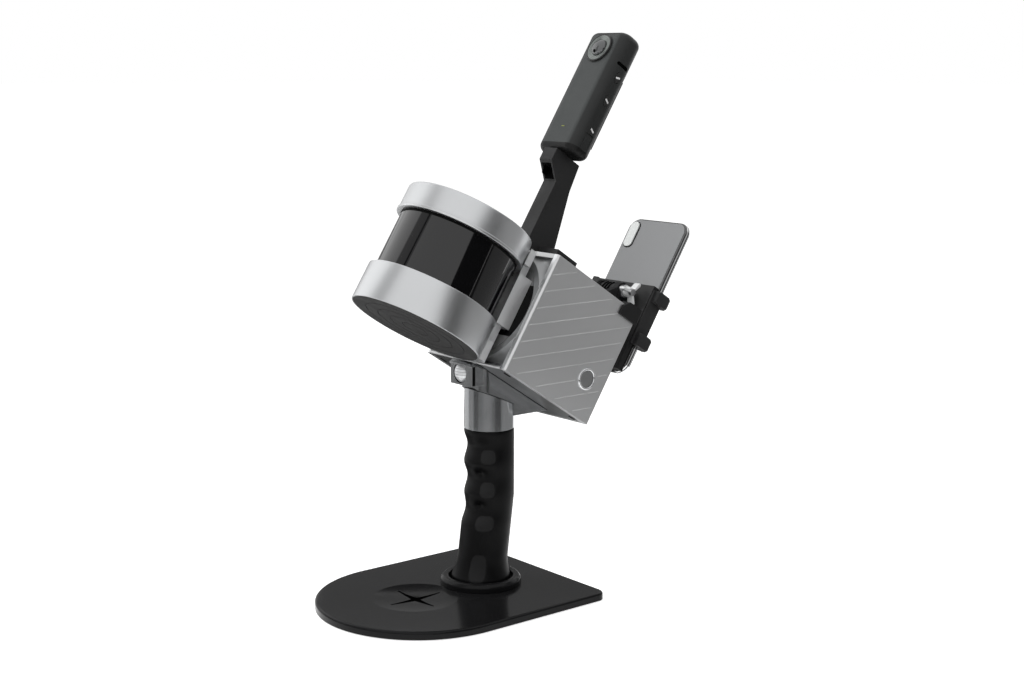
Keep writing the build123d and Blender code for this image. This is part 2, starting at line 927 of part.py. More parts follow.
cup_start = spindle_end + turntable_back_gap
cup_end = cup_start + ring_wall
with BuildPart() as slip_ring_core:
    with BuildSketch(FRONT.offset(-spindle_end)):
        Circle(spindle_bore - seat_gap)
    extrude(amount=ring_length)
    with BuildSketch(FRONT.offset(-spindle_end)):
        Circle(ring_core_radius)
    extrude(amount=spindle_end - cup_end - ring_length + turntable_back_gap)
save(slip_ring_core, "slip_ring_core")

with BuildPart() as slip_ring_housing:
    with BuildSketch(FRONT.offset(-housing_end)):
        ring(housing_radius, bearing_bore + turntable_rim_gap)
    extrude(amount=-ring_wall)
    with BuildSketch(FRONT.offset(-housing_end)):
        ring(bearing_bore + ring_wall, bearing_bore + turntable_rim_gap)
    extrude(amount=housing_end - cup_start)
    with BuildSketch(FRONT.offset(-cup_start)):
        ring(bearing_bore + ring_wall, ring_core_radius + slide_gap)
    extrude(amount=-ring_wall)
    with BuildSketch(FRONT.offset(-cup_end)):
        ring(ring_core_radius + ring_wall, ring_core_radius + slide_gap)
    extrude(amount=-ring_length)
save(slip_ring_housing, "slip_ring_housing")

# Yoke between the turntable and the laser head
LASER = Plane(origin=LEVEL.from_local_coords((0, -laser_ahead, 0)), x_dir=(1, 0, 0), z_dir=LEVEL.z_dir)
head_seat = disc_back - yoke_screw_sink

with BuildPart(FRONT) as yoke_bracket:
    block((-yoke_half, yoke_half), (yoke_low, yoke_high), (-cover_set, yoke_block_front))
    block((-spine_half, spine_half), (bottom_lug_low, top_lug_high), (spine_back, spine_front))
    for low, high in ((top_lug_low, top_lug_high), (bottom_lug_low, bottom_lug_high)):
        block((-lug_half, lug_half), (low, high), (lug_back, lug_front))
    with BuildSketch(LASER.offset(laser_low)):
        Circle(laser_radius + seat_gap)
    extrude(amount=laser_high - laser_low, mode=Mode.SUBTRACT)
    with BuildSketch(FRONT.offset(-cover_set)):
        with Locations(*screw_spots):
            Circle(yoke_screw_radius + seat_gap)
    extrude(amount=yoke_screw_length - head_seat + cover_set + seat_gap, mode=Mode.SUBTRACT)
save(yoke_bracket, "yoke_bracket")

with BuildPart() as yoke_screws:
    for x, u in screw_spots:
        with BuildSketch(FRONT.offset(-head_seat)):
            with Locations((x, u)):
                Circle(yoke_screw_head)
        extrude(amount=seat_gap - yoke_screw_sink)
        with BuildSketch(FRONT.offset(-head_seat)):
            with Locations((x, u)):
                Circle(yoke_screw_radius)
        extrude(amount=yoke_screw_length)
save(yoke_screws, "yoke_screws")

# Laser head
with BuildPart() as laser_base_ring:
    with BuildSketch(LASER.offset(laser_low)):
        Circle(laser_radius)
    extrude(amount=window_low - laser_low)
    chamfer(laser_base_ring.edges().filter_by(GeomType.CIRCLE), laser_edge)
    with BuildSketch(LASER.offset(laser_low)):
        Circle(disc_radius + seat_gap)
    extrude(amount=disc_thick, mode=Mode.SUBTRACT)
    with BuildSketch(LASER.offset(window_low)):
        Circle(laser_bore)
    extrude(amount=laser_base_floor - window_low, mode=Mode.SUBTRACT)
    with BuildSketch(LASER.offset(laser_base_floor)):
        Circle(post_radius)
    extrude(amount=laser_high - laser_roof - post_top_gap - laser_base_floor)
save(laser_base_ring, "laser_base_ring")

with BuildPart() as laser_bottom_disc:
    with BuildSketch(LASER.offset(laser_low)):
        Circle(disc_radius)
    extrude(amount=disc_thick)
    for count in range(1, disc_rings + 1):
        radius = count * disc_ring_pitch
        with BuildSketch(LASER.offset(laser_low)):
            ring(radius + disc_ring_width, radius)
        extrude(amount=disc_ring_deep, mode=Mode.SUBTRACT)
save(laser_bottom_disc, "laser_bottom_disc")

with BuildPart() as laser_window:
    with BuildSketch(LASER.offset(window_low)):
        ring(window_radius, window_radius - window_wall)
    extrude(amount=window_high - window_low)
save(laser_window, "laser_window")

with BuildPart() as laser_top_ring:
    with BuildSketch(LASER.offset(window_high)):
        Circle(crown_radius)
    extrude(amount=laser_high - window_high)
    chamfer(laser_top_ring.edges().filter_by(GeomType.CIRCLE), laser_edge)
    with BuildSketch(LASER.offset(window_high)):
        Circle(laser_bore)
    extrude(amount=laser_high - laser_roof - window_high, mode=Mode.SUBTRACT)
save(laser_top_ring, "laser_top_ring")

rotor_low = laser_base_floor + slide_gap
rotor_high = laser_high - laser_roof - rotor_roof_gap
optic_heights = (optic_low, optic_high)
OPTICS = Plane(origin=LASER.origin, x_dir=(1, 0, 0), z_dir=FRONT.z_dir)
with BuildPart() as laser_rotor:
    with BuildSketch(LASER.offset(rotor_low)):
        ring(rotor_radius, post_radius + run_gap)
    extrude(amount=rotor_high - rotor_low)
    with BuildSketch(OPTICS.offset(rotor_radius - optic_depth)):
        for height in optic_heights:
            with Locations((0, height)):
                Circle(optic_radius + seat_gap)
    extrude(amount=optic_depth, mode=Mode.SUBTRACT)
save(laser_rotor, "laser_rotor")

with BuildPart() as laser_optics:
    for height in optic_heights:
        with BuildSketch(OPTICS.offset(rotor_radius - optic_depth)):
            with Locations((0, height)):
                Circle(optic_radius)
        extrude(amount=optic_depth - optic_proud)
save(laser_optics, "laser_optics")

# Camera arm
pocket_middle = (pocket_near + pocket_far) / 2
with BuildPart() as camera_arm:
    with BuildSketch(SIDE):
        with BuildLine():
            Polyline(
                (-arm_front, box_top),
                (-arm_front, arm_knee),
                (-head_front, head_low),
                (-head_front, camera_base),
                (head_back, camera_base),
                (arm_neck_depth, arm_knee),
                (arm_foot_depth, box_top),
                close=True,
            )
        make_face()
    extrude(amount=arm_half, both=True)
    with BuildSketch(LEVEL.offset(box_top)):
        with Locations((0, (arm_flange_front + arm_flange_back) / 2)):
            Rectangle(2 * arm_flange_half, arm_flange_back - arm_flange_front)
    extrude(amount=arm_flange_thick)
    with BuildSketch(LEVEL.offset(arm_knee)):
        with Locations((0, -pocket_middle)):
            Rectangle(2 * pocket_half, pocket_far - pocket_near)
    extrude(amount=pocket_high - arm_knee, mode=Mode.SUBTRACT)
    with BuildSketch(LEVEL.offset(pocket_high)):
        with Locations((0, -pocket_middle)):
            Circle(camera_screw_radius + seat_gap)
    extrude(amount=camera_base - pocket_high, mode=Mode.SUBTRACT)
    with BuildSketch(LEVEL.offset(box_top)):
        with Locations(*arm_screw_spots):
            Circle(arm_screw_radius + seat_gap)
    extrude(amount=arm_flange_thick, mode=Mode.SUBTRACT)
    with BuildSketch(LEVEL.offset(box_top + arm_flange_thick)):
        with Locations(*arm_screw_spots):
            Circle(arm_screw_head + seat_gap)
    extrude(amount=-arm_screw_sink, mode=Mode.SUBTRACT)
save(camera_arm, "camera_arm")

arm_seat = box_top + arm_flange_thick - arm_screw_sink
with BuildPart() as arm_screws:
    for x, d in arm_screw_spots:
        with BuildSketch(LEVEL.offset(arm_seat)):
            with Locations((x, d)):
                Circle(arm_screw_head)
        extrude(amount=arm_screw_sink - seat_gap)
        with BuildSketch(LEVEL.offset(arm_seat)):
            with Locations((x, d)):
                Circle(arm_screw_radius)
        extrude(amount=ceiling_u - arm_seat)
save(arm_screws, "arm_screws")

with BuildPart() as camera_screw:
    with BuildSketch(LEVEL.offset(pocket_high)):
        with Locations((0, -pocket_middle)):
            Circle(camera_screw_knob)
    extrude(amount=-camera_screw_knob_thick)
    with BuildSketch(LEVEL.offset(pocket_high)):
        with Locations((0, -pocket_middle)):
            Circle(camera_screw_radius)
    extrude(amount=camera_base - pocket_high + camera_screw_reach)
save(camera_screw, "camera_screw")

# Camera
CAMERA = LEVEL.offset(camera_base)
FACE = FRONT.offset(camera_face)
REAR = Plane(origin=FRONT.from_local_coords((0, 0, -camera_rear)), x_dir=(-1, 0, 0), z_dir=-FRONT.z_dir)
camera_half = camera_width / 2
camera_top = camera_base + camera_height
door_bottom_u = camera_base + door_low
key_drops = {"camera_power_key": power_key_drop, "camera_mode_key": mode_key_drop}

with BuildPart() as camera_body:
    with BuildSketch(CAMERA):
        with Locations((0, -camera_ahead)):
            RectangleRounded(camera_width, camera_depth, camera_round)
    extrude(amount=camera_height)
    ends = Axis(CAMERA.origin, CAMERA.z_dir)
    fillet(camera_body.faces().sort_by(ends)[0].edges(), camera_edge)
    fillet(camera_body.faces().sort_by(ends)[-1].edges(), camera_edge)
    with BuildSketch(LEVEL.offset(camera_base)):
        with Locations((0, -pocket_middle)):
            Circle(camera_screw_radius + seat_gap)
    extrude(amount=camera_screw_reach + slide_gap, mode=Mode.SUBTRACT)
    with BuildSketch(REAR):
        with Locations((0, camera_base + (screen_low + screen_high) / 2)):
            Rectangle(2 * (screen_half + seat_gap), screen_high - screen_low + 2 * seat_gap)
    extrude(amount=-screen_sink, mode=Mode.SUBTRACT)
    with BuildSketch(SIDE.offset(camera_half)):
        with Locations((-camera_ahead, camera_top - microphone_drop)):
            SlotOverall(microphone_length, microphone_width)
    extrude(amount=-microphone_deep - camera_button_sink, mode=Mode.SUBTRACT)
    with BuildSketch(SIDE.offset(camera_half)):
        for drop in key_drops.values():
            with Locations((-camera_ahead, camera_top - drop)):
                SlotOverall(
                    camera_button_length + 2 * slide_gap,
                    camera_button_width + 2 * slide_gap,
                    rotation=90,
                )
    extrude(amount=-camera_button_sink - camera_button_travel, mode=Mode.SUBTRACT)
    with BuildSketch(SIDE.offset(camera_half)):
        with Locations((-camera_ahead, door_bottom_u + door_height / 2)):
            Rectangle(door_width + 2 * slide_gap, door_height + 2 * slide_gap)
    extrude(amount=-door_face - door_thick - slide_gap, mode=Mode.SUBTRACT)
save(camera_body, "camera_body")

for name, drop in key_drops.items():
    with BuildPart() as camera_key:
        with BuildSketch(SIDE.offset(camera_half - camera_button_sink)):
            with Locations((-camera_ahead, camera_top - drop)):
                SlotOverall(camera_button_length, camera_button_width, rotation=90)
        extrude(amount=camera_button_sink + camera_button_proud)
        fillet(camera_key.faces().sort_by(Axis.X)[-1].edges(), camera_button_proud / 2)
    save(camera_key, name)

with BuildPart() as camera_door:
    with BuildSketch(SIDE.offset(camera_half - door_face)):
        with Locations((-camera_ahead, door_bottom_u + door_height / 2)):
            Rectangle(door_width, door_height)
    extrude(amount=-door_thick)
    chamfer(camera_door.faces().sort_by(Axis.X)[-1].edges(), door_face)
save(camera_door, "camera_door")

with BuildPart() as camera_screen:
    with BuildSketch(REAR.offset(-screen_sink)):
        with Locations((0, camera_base + (screen_low + screen_high) / 2)):
            Rectangle(2 * screen_half, screen_high - screen_low)
    extrude(amount=screen_thick)
save(camera_screen, "camera_screen")

with BuildPart() as lens_rings:
    for face in (FACE, REAR):
        with BuildSketch(face):
            with Locations((0, lens_u)):
                ring(lens_ring_radius, lens_radius + seat_gap)
        extrude(amount=lens_ring_proud)
    by_depth = lens_rings.faces().sort_by(Axis(FRONT.origin, FRONT.z_dir))
    for outer_face in (by_depth[0], by_depth[-1]):
        chamfer(outer_face.edges().sort_by(SortBy.RADIUS)[-1], lens_ring_proud / 2)
save(lens_rings, "lens_rings")

dome_radius = (lens_radius**2 + lens_dome**2) / (2 * lens_dome)
with BuildPart(FACE, REAR) as camera_lenses:
    with Locations((0, lens_u, lens_dome - dome_radius)):
        Sphere(dome_radius)
    with Locations((0, lens_u, lens_dome / 2)):
        Cylinder(lens_radius, lens_dome, mode=Mode.INTERSECT)
save(camera_lenses, "camera_lenses")

# Phone bracket
pivot = (pivot_depth, pivot_height)
with BuildPart(LEVEL) as phone_bracket:
    with BuildSketch(SIDE):
        with Locations(((bracket_front + bracket_back) / 2, (bracket_low + bracket_top) / 2)):
            Rectangle(bracket_back - bracket_front, bracket_top - bracket_low)
    extrude(amount=box_half + bracket_cheek, both=True)
    corner = phone_bracket.edges().filter_by(Axis.X).sort_by(Axis(LEVEL.origin, SIDE.y_dir - SIDE.x_dir))[-1]
    chamfer(corner, bracket_cut)
    block((-box_half, box_half), (-box_depth, box_depth), (-box_bottom, box_top), mode=Mode.SUBTRACT)
    for side in (-1, 1):
        with BuildSketch(SIDE.offset(side * (ear_in + ear_out) / 2)):
            with BuildLine():
                Polyline(
                    (bracket_back, bracket_top),
                    (bracket_back - ear_root, bracket_top),
                    (pivot_depth - ear_radius, pivot_height),
                    (pivot_depth + ear_radius, pivot_height),
                    close=True,
                )
            make_face()
            with Locations(pivot):
                Circle(ear_radius)
        extrude(amount=(ear_out - ear_in) / 2, both=True)
    with BuildSketch(SIDE):
        with Locations(pivot):
            Circle(pivot_radius + run_gap)
    extrude(amount=2 * ear_out, both=True, mode=Mode.SUBTRACT)
save(phone_bracket, "phone_bracket")

knob_start = ear_out + knob_set
with BuildPart() as pivot_bolt:
    with BuildSketch(SIDE.offset(-ear_out)):
        with Locations(pivot):
            Circle(pivot_radius)
    extrude(amount=ear_out + knob_start + knob_length - seat_gap)
    with BuildSketch(SIDE.offset(-ear_out)):
        with Locations(pivot):
            RegularPolygon(bolt_head, 6)
    extrude(amount=-bolt_head_thick)
    with BuildSketch(SIDE.offset(ear_out)):
        with Locations(pivot):
            ring(knob_hub, pivot_radius)
    extrude(amount=knob_set - slide_gap)
save(pivot_bolt, "pivot_bolt")

with BuildPart() as clamp_knob:
    with BuildSketch(SIDE.offset(knob_start)):
        with Locations(pivot):
            Circle(knob_hub)
            with PolarLocations(0, knob_lobes, start_angle=knob_turn):
                with Locations(((knob_reach - knob_lobe) / 2, 0)):
                    Rectangle(knob_reach - knob_lobe, 2 * knob_lobe)
                with Locations((knob_reach - knob_lobe, 0)):
                    Circle(knob_lobe)
            Circle(pivot_radius + run_gap, mode=Mode.SUBTRACT)
    extrude(amount=knob_length)
save(clamp_knob, "clamp_knob")

# Phone clamp
finger_spans = ((jaw_high - finger_height, jaw_high), (jaw_low, jaw_low + finger_height))
jaw_outer = jaw_inner + jaw_thick
phone_front = phone_back + phone_thick
lip_start = phone_front + slide_gap
lip_end = phone_front + jaw_lip
plate_half = jaw_inner - slide_gap
tooth_first = tooth_inset - plate_half
rail_depth = (clamp_front + clamp_face) / 2


def jaw(side):
    """One jaw: a wall beside the phone and two fingers that reach round its front."""
    outer = side * jaw_outer
    inner = side * jaw_inner
    tip = side * (jaw_inner - jaw_lip_in)
    with BuildPart(LEVEL) as piece:
        block(sorted((inner, outer)), (clamp_front, clamp_front + jaw_wall_depth), (jaw_low, jaw_high))
        for low, high in finger_spans:
            block(sorted((inner, outer)), (clamp_front, lip_end), (low, high))
            block(sorted((tip, outer)), (lip_start, lip_end), (low, high))
    return piece.part


fixed_jaw = jaw(-1)
sliding_jaw = jaw(1)

with BuildPart(LEVEL) as clamp_plate:
    block((-jaw_outer, plate_half), (clamp_front, clamp_face), (jaw_low, clamp_high))
    block((-plate_half, plate_half), (clamp_front, clamp_face), (clamp_low, clamp_high))

with BuildPart() as clamp_body:
    add(fixed_jaw)
    add(clamp_plate.part)
    with BuildSketch(FRONT.offset(-clamp_front)):
        for tooth in range(tooth_count):
            with Locations((tooth_first + tooth * tooth_pitch, tooth_height)):
                Rectangle(tooth_width, tooth_length, rotation=-tooth_slant)
    extrude(amount=-tooth_deep, mode=Mode.SUBTRACT)
    with BuildSketch(SIDE):
        with Locations(pivot):
            Circle(tongue_radius)
        with Locations(((pivot_depth + clamp_front) / 2, pivot_height)):
            Rectangle(clamp_front - pivot_depth, 2 * tongue_radius)
    extrude(amount=ear_in - slide_gap, both=True)
    with BuildSketch(SIDE):
        with Locations(pivot):
            Circle(pivot_radius + run_gap)
    extrude(amount=ear_in, both=True, mode=Mode.SUBTRACT)
    with BuildSketch(SIDE.offset(plate_half)):
        with Locations((rail_depth, rail_low), (rail_depth, rail_high)):
            Circle(rail_radius + run_gap)
    extrude(amount=-rail_length - slide_gap, mode=Mode.SUBTRACT)
save(clamp_body, "clamp_body")

with BuildPart(LEVEL) as clamp_pad:
    block((-plate_half, plate_half), (clamp_face, phone_back), (clamp_low, clamp_high))
    rib_count = int((clamp_high - clamp_low) / pad_rib_pitch)
    for rib in range(1, rib_count):
        height = clamp_low + rib * pad_rib_pitch
        block(
            (-plate_half, plate_half),
            (phone_back - pad_rib_deep, phone_back),
            (height, height + pad_rib_width),
            mode=Mode.SUBTRACT,
        )
save(clamp_pad, "clamp_pad")

with BuildPart() as moving_jaw:
    add(sliding_jaw)
    with BuildSketch(SIDE.offset(jaw_inner)):
        with Locations((rail_depth, rail_low), (rail_depth, rail_high)):
            Circle(rail_radius)
    extrude(amount=-rail_length)
save(moving_jaw, "moving_jaw")

# Phone
BACK = Plane(
    origin=FRONT.from_local_coords((0, phone_low + phone_height / 2, -phone_back)),
    x_dir=(-1, 0, 0),
    z_dir=-FRONT.z_dir,
)


def slab(inset, start, thick):
    """Rounded plate of the phone's outline, drawn in by an inset."""
    with BuildPart() as piece:
        with BuildSketch(BACK.offset(start)):
            RectangleRounded(phone_width - 2 * inset, phone_height - 2 * inset, phone_round - inset)
        extrude(amount=thick)
    return piece


frame_blank = slab(0, 0, phone_thick)
glass_room = slab(glass_inset, 0, glass_thick)
screen_room = slab(glass_inset, phone_thick - glass_thick, glass_thick)
with BuildPart() as phone_frame:
    add(frame_blank.part)
    ends = Axis(BACK.origin, BACK.z_dir)
    fillet(phone_frame.faces().sort_by(ends)[0].edges(), phone_edge)
    fillet(phone_frame.faces().sort_by(ends)[-1].edges(), phone_edge)
    add(glass_room.part, mode=Mode.SUBTRACT)
    add(screen_room.part, mode=Mode.SUBTRACT)
save(phone_frame, "phone_frame")

with BuildPart() as phone_back_glass:
    add(glass_room.part)
save(phone_back_glass, "phone_back_glass")

with BuildPart() as phone_screen:
    add(screen_room.part)
save(phone_screen, "phone_screen")

with BuildPart() as phone_camera:
    with BuildSketch(BACK):
        with Locations((-bump_x, bump_height - phone_low - phone_height / 2)):
            SlotOverall(bump_length, bump_width, rotation=90)
    extrude(amount=-bump_proud)
    fillet(phone_camera.faces().sort_by(Axis(BACK.origin, BACK.z_dir))[0].edges(), bump_proud / 2)
save(phone_camera, "phone_camera")
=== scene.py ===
import json
import math

import bmesh
import bpy
from mathutils import Matrix, Vector


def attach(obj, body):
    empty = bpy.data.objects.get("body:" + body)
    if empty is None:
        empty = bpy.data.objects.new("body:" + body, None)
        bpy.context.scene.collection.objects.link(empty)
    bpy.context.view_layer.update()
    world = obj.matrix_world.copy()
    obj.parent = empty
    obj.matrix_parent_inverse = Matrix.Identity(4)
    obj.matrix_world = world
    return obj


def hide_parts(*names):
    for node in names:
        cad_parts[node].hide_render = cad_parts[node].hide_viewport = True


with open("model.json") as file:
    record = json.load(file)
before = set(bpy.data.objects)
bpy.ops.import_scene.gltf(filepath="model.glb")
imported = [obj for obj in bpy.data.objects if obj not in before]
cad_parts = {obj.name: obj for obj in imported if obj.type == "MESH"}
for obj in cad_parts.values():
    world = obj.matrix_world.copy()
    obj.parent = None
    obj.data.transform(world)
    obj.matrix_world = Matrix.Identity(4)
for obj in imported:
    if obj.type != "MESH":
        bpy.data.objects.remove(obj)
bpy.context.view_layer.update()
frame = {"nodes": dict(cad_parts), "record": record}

# Frame of the scanner: the stand is upright, and the head is tipped back on the neck
MM = 0.001
STAND_BACK = Vector((0, 1, 0))
STAND_UP = Vector((0, 0, 1))
RIGHT = Vector((1, 0, 0))
TILT = math.radians(32.81)
HEAD = Vector((0, 2.28, 236.64)) * MM
AHEAD = Vector((0, -math.cos(TILT), math.sin(TILT)))
UP = Vector((0, math.sin(TILT), math.cos(TILT)))
LASER_AHEAD = 57.5

# Where the photograph was taken from
VIEWPOINT = Vector((1013.5, -807.9, 428.6)) * MM
VIEW_AZIMUTH, VIEW_ELEVATION, VIEW_ROLL = [math.radians(turn) for turn in (50.622, 9.531, 0.154)]
FOCAL_PIXELS, IMAGE_WIDTH, SENSOR_WIDTH = 1625.9, 1024, 36.0


def in_scene(name, data):
    """New object in the scene from its mesh, lamp or camera data."""
    thing = bpy.data.objects.new(name, data)
    bpy.context.scene.collection.objects.link(thing)
    return thing


def place_camera():
    """Camera at the photograph's viewpoint, looking down on the scanner from its right front."""
    back = Vector((
        math.sin(VIEW_AZIMUTH) * math.cos(VIEW_ELEVATION),
        -math.cos(VIEW_AZIMUTH) * math.cos(VIEW_ELEVATION),
        math.sin(VIEW_ELEVATION),
    ))
    level = Vector((math.cos(VIEW_AZIMUTH), math.sin(VIEW_AZIMUTH), 0))
    upright = back.cross(level)
    side = level * math.cos(VIEW_ROLL) + upright * math.sin(VIEW_ROLL)
    top = upright * math.cos(VIEW_ROLL) - level * math.sin(VIEW_ROLL)
    data = bpy.data.cameras.new("studio_camera")
    data.sensor_width = SENSOR_WIDTH
    data.lens = FOCAL_PIXELS * SENSOR_WIDTH / IMAGE_WIDTH
    data.clip_end = 50
    camera = in_scene("studio_camera", data)
    camera.matrix_world = Matrix.Translation(VIEWPOINT) @ Matrix((side, top, back)).transposed().to_4x4()
    bpy.context.scene.camera = camera


# Nodes of materials and shared effects
FLOAT, VECTOR = "NodeSocketFloat", "NodeSocketVector"
MIX_BELOW, MIX_ABOVE, MIX_COLOUR = 6, 7, 2


def put(tree, kind, **settings):
    """New node with its properties set."""
    node = tree.nodes.new(kind)
    for key, value in settings.items():
        setattr(node, key, value)
    return node


def feed(node, values):
    """Sets inputs of a node, each to a value or from a socket."""
    for label, value in values.items():
        if isinstance(value, bpy.types.NodeSocket):
            node.id_data.links.new(value, node.inputs[label])
        else:
            node.inputs[label].default_value = value
    return node


def sums(tree, operation, first, second, clamp=False):
    """Result of a maths node fed by sockets or numbers."""
    node = put(tree, "ShaderNodeMath", operation=operation, use_clamp=clamp)
    return feed(node, {0: first, 1: second}).outputs[0]


def dot_product(tree, first, second):
    """How far two directions agree."""
    node = put(tree, "ShaderNodeVectorMath", operation="DOT_PRODUCT")
    return feed(node, {0: first, 1: second}).outputs["Value"]


def noise_over(tree, place, **values):
    """Noise over a place in three directions, with its values set."""
    node = put(tree, "ShaderNodeTexNoise", noise_dimensions="3D")
    return feed(node, {"Vector": place, **values}).outputs["Fac"]


def spread(tree, value, first, last, low, high):
    """Smooth change from low to high while a value goes from first to last."""
    node = put(tree, "ShaderNodeMapRange", interpolation_type="SMOOTHSTEP")
    limits = {"Value": value, "From Min": first, "From Max": last, "To Min": low, "To Max": high}
    return feed(node, limits).outputs["Result"]


def use(tree, group, **values):
    """Places a shared effect in a material with its own values or linked sockets."""
    return feed(put(tree, "ShaderNodeGroup", node_tree=group), values)


def new_material(name):
    """New material and its shader."""
    material = bpy.data.materials.new(name)
    material.use_nodes = True
    return material, material.node_tree.nodes["Principled BSDF"]


# Studio: pale floor, white room, soft lamps and cards for the polished metal
WHITE = (1, 1, 1, 1)
SOFT_LEVEL, FLOOR_GLOW, FLOOR_HALF = 0.42, 0.75, 30.0
CARD_RING_MIDDLE, CARD_STEP, CARD_LIFT = -0.06, 6, 0.0008
LOW_CARD_REACH, LOW_CARD_TOP = 0.42, 0.14
LOW_CARD_TURNS = (-200, -150, -116, -86, -62, -20, -5, 24, 34, 100)
LOW_CARD_SHADES = (0.80, 0.34, 0.05, 0.16, 0.26, 0.17, 0.08, 0.28, 0.33)


def light_rays(tree):
    """1 where a ray comes from the camera, a gloss or a glass, and 0 where it lights the object."""
    path = put(tree, "ShaderNodeLightPath").outputs
    seen = sums(tree, "MAXIMUM", path["Is Camera Ray"], path["Is Glossy Ray"])
    return sums(tree, "MAXIMUM", seen, path["Is Transmission Ray"])


def white_room():
    """White surroundings for what sees them, and a plain soft level of light for the rest."""
    world = bpy.data.worlds.new("studio_room")
    world.use_nodes = True
    bpy.context.scene.world = world
    tree = world.node_tree
    level = put(tree, "ShaderNodeMapRange")
    feed(level, {"Value": light_rays(tree), "To Min": SOFT_LEVEL, "To Max": 1.0})
    feed(tree.nodes["Background"], {"Color": WHITE, "Strength": level.outputs["Result"]})


def studio_sheet(name, corners, faces, tone, rough):
    """Dull sheet of the studio that can glow white, and the shader of its material."""
    mesh = bpy.data.meshes.new(name)
    mesh.from_pydata(corners, [], faces)
    material, shader = new_material(name)
    mesh.materials.append(material)
    feed(shader, {"Base Color": (*grey(tone), 1), "Roughness": rough})
    feed(shader, {"Specular IOR Level": 0.0, "Emission Color": WHITE})
    return in_scene(name, mesh), shader


def pale_floor():
    """Wide floor that keeps the scanner's shadow and is white elsewhere."""
    corners = [(x, y, 0) for x, y in plate_outline(FLOOR_HALF, FLOOR_HALF)]
    floor, shader = studio_sheet("studio_floor", corners, [(0, 1, 2, 3)], 0.8, 0.9)
    tree = shader.id_data
    feed(shader, {"Emission Strength": sums(tree, "MULTIPLY", light_rays(tree), FLOOR_GLOW)})


def soft_lamp(name, place, target, size, power):
    """Square soft lamp aimed at a point, unseen in polished surfaces."""
    data = bpy.data.lights.new(name, "AREA")
    data.shape = "RECTANGLE"
    data.size = data.size_y = size
    data.energy = power
    lamp = in_scene(name, data)
    lamp.location = place
    lamp.rotation_mode = "QUATERNION"
    lamp.rotation_quaternion = (Vector(target) - Vector(place)).to_track_quat("-Z", "Y")
    lamp.visible_glossy = False


def studio_card(name, corners, faces, shade):
    """Grey, black or glowing studio card, seen only in polished surfaces."""
    card, shader = studio_sheet(name, corners, faces, 0, 1.0)
    feed(shader, {"Emission Strength": shade})
    for rays in ("camera", "diffuse", "transmission", "shadow"):
        setattr(card, "visible_" + rays, False)


def curved_card(name, first, last, reach, low, high, shade):
    """Card that stands round the scanner from one turn in degrees to another."""
    steps = max(1, int((last - first) / CARD_STEP))
    turns = [math.radians(first + (last - first) * k / steps) for k in range(steps + 1)]
    corners = [
        Vector((math.cos(turn) * reach, math.sin(turn) * reach + CARD_RING_MIDDLE, height))
        for turn in turns for height in (low, high)
    ]
    faces = [(2 * k, 2 * k + 2, 2 * k + 3, 2 * k + 1) for k in range(steps)]
    studio_card(name, corners, faces, shade)


def floor_card(name, middle, half, shade):
    """Card that lies on the floor."""
    corners = [Vector((middle[0] + x, middle[1] + y, CARD_LIFT)) for x, y in plate_outline(half, half)]
    studio_card(name, corners, [(0, 1, 2, 3)], shade)


def set_out_cards():
    """Cards for the metal of the head, as turns, reach, foot, top and shade, and low ones for the neck."""
    for name, first, last, reach, low, high, shade in (
        ("right_black_card", -5, 28, 0.62, 0.001, 0.60, 0.03),
        ("right_dark_edge_card", 29, 32, 0.62, 0.001, 0.60, 0.03),
        ("right_grey_card", 32, 76, 0.62, 0.001, 0.55, 0.33),
        ("left_tall_card", -134, -104, 0.66, 0.36, 1.3, 0.45),
        ("left_black_strip", -112, -108, 0.62, 0.36, 1.1, 0.03),
        ("left_glow_card", -180, -136, 0.70, 0.32, 1.1, 1.3),
        ("behind_grey_card", 108, 172, 0.97, 0.001, 0.40, 0.30),
        ("behind_dark_card", 125, 157, 0.95, 0.42, 1.1, 0.03),
    ):
        curved_card(name, first, last, reach, low, high, shade)
    for count, shade in enumerate(LOW_CARD_SHADES):
        first, last = LOW_CARD_TURNS[count], LOW_CARD_TURNS[count + 1]
        curved_card(f"low_card_{count + 1}", first, last, LOW_CARD_REACH, 0.001, LOW_CARD_TOP, shade)
    floor_card("floor_dark_card", (-0.42, 0.14), 0.30, 0.10)


# Shared effects
BUMP_HEIGHT, EDGE_SHARPNESS, SPECK_CONTRAST = 0.0001, 7.0, 2.5


def new_group(name, inputs, outputs):
    """Empty shader group: inputs with a number, or None for a vector, and outputs with their kind."""
    group = bpy.data.node_groups.new(name, "ShaderNodeTree")
    for label, value in inputs.items():
        kind = VECTOR if value is None else FLOAT
        socket = group.interface.new_socket(label, in_out="INPUT", socket_type=kind)
        if value is not None:
            socket.default_value = value
    for label, kind in outputs.items():
        group.interface.new_socket(label, in_out="OUTPUT", socket_type=kind)
    return group, put(group, "NodeGroupInput").outputs, put(group, "NodeGroupOutput")


def raise_bumps(group, start, end, height):
    """Turns a height into the group's mask and bumped normal."""
    bump = feed(put(group, "ShaderNodeBump"), {
        "Distance": BUMP_HEIGHT, "Height": height, "Strength": start["Depth"], "Normal": start["Edge"],
    })
    feed(end, {"Mask": height, "Normal": bump.outputs["Normal"]})
    return group


def make_grain():
    """Fine moulded or blasted grain."""
    inputs = {"Vector": None, "Scale": 2000.0, "Depth": 0.1, "Edge": None}
    group, start, end = new_group("fine_grain", inputs, {"Mask": FLOAT, "Normal": VECTOR})
    grain = noise_over(group, start["Vector"], Scale=start["Scale"], Detail=3.0, Roughness=0.6)
    return raise_bumps(group, start, end, grain)


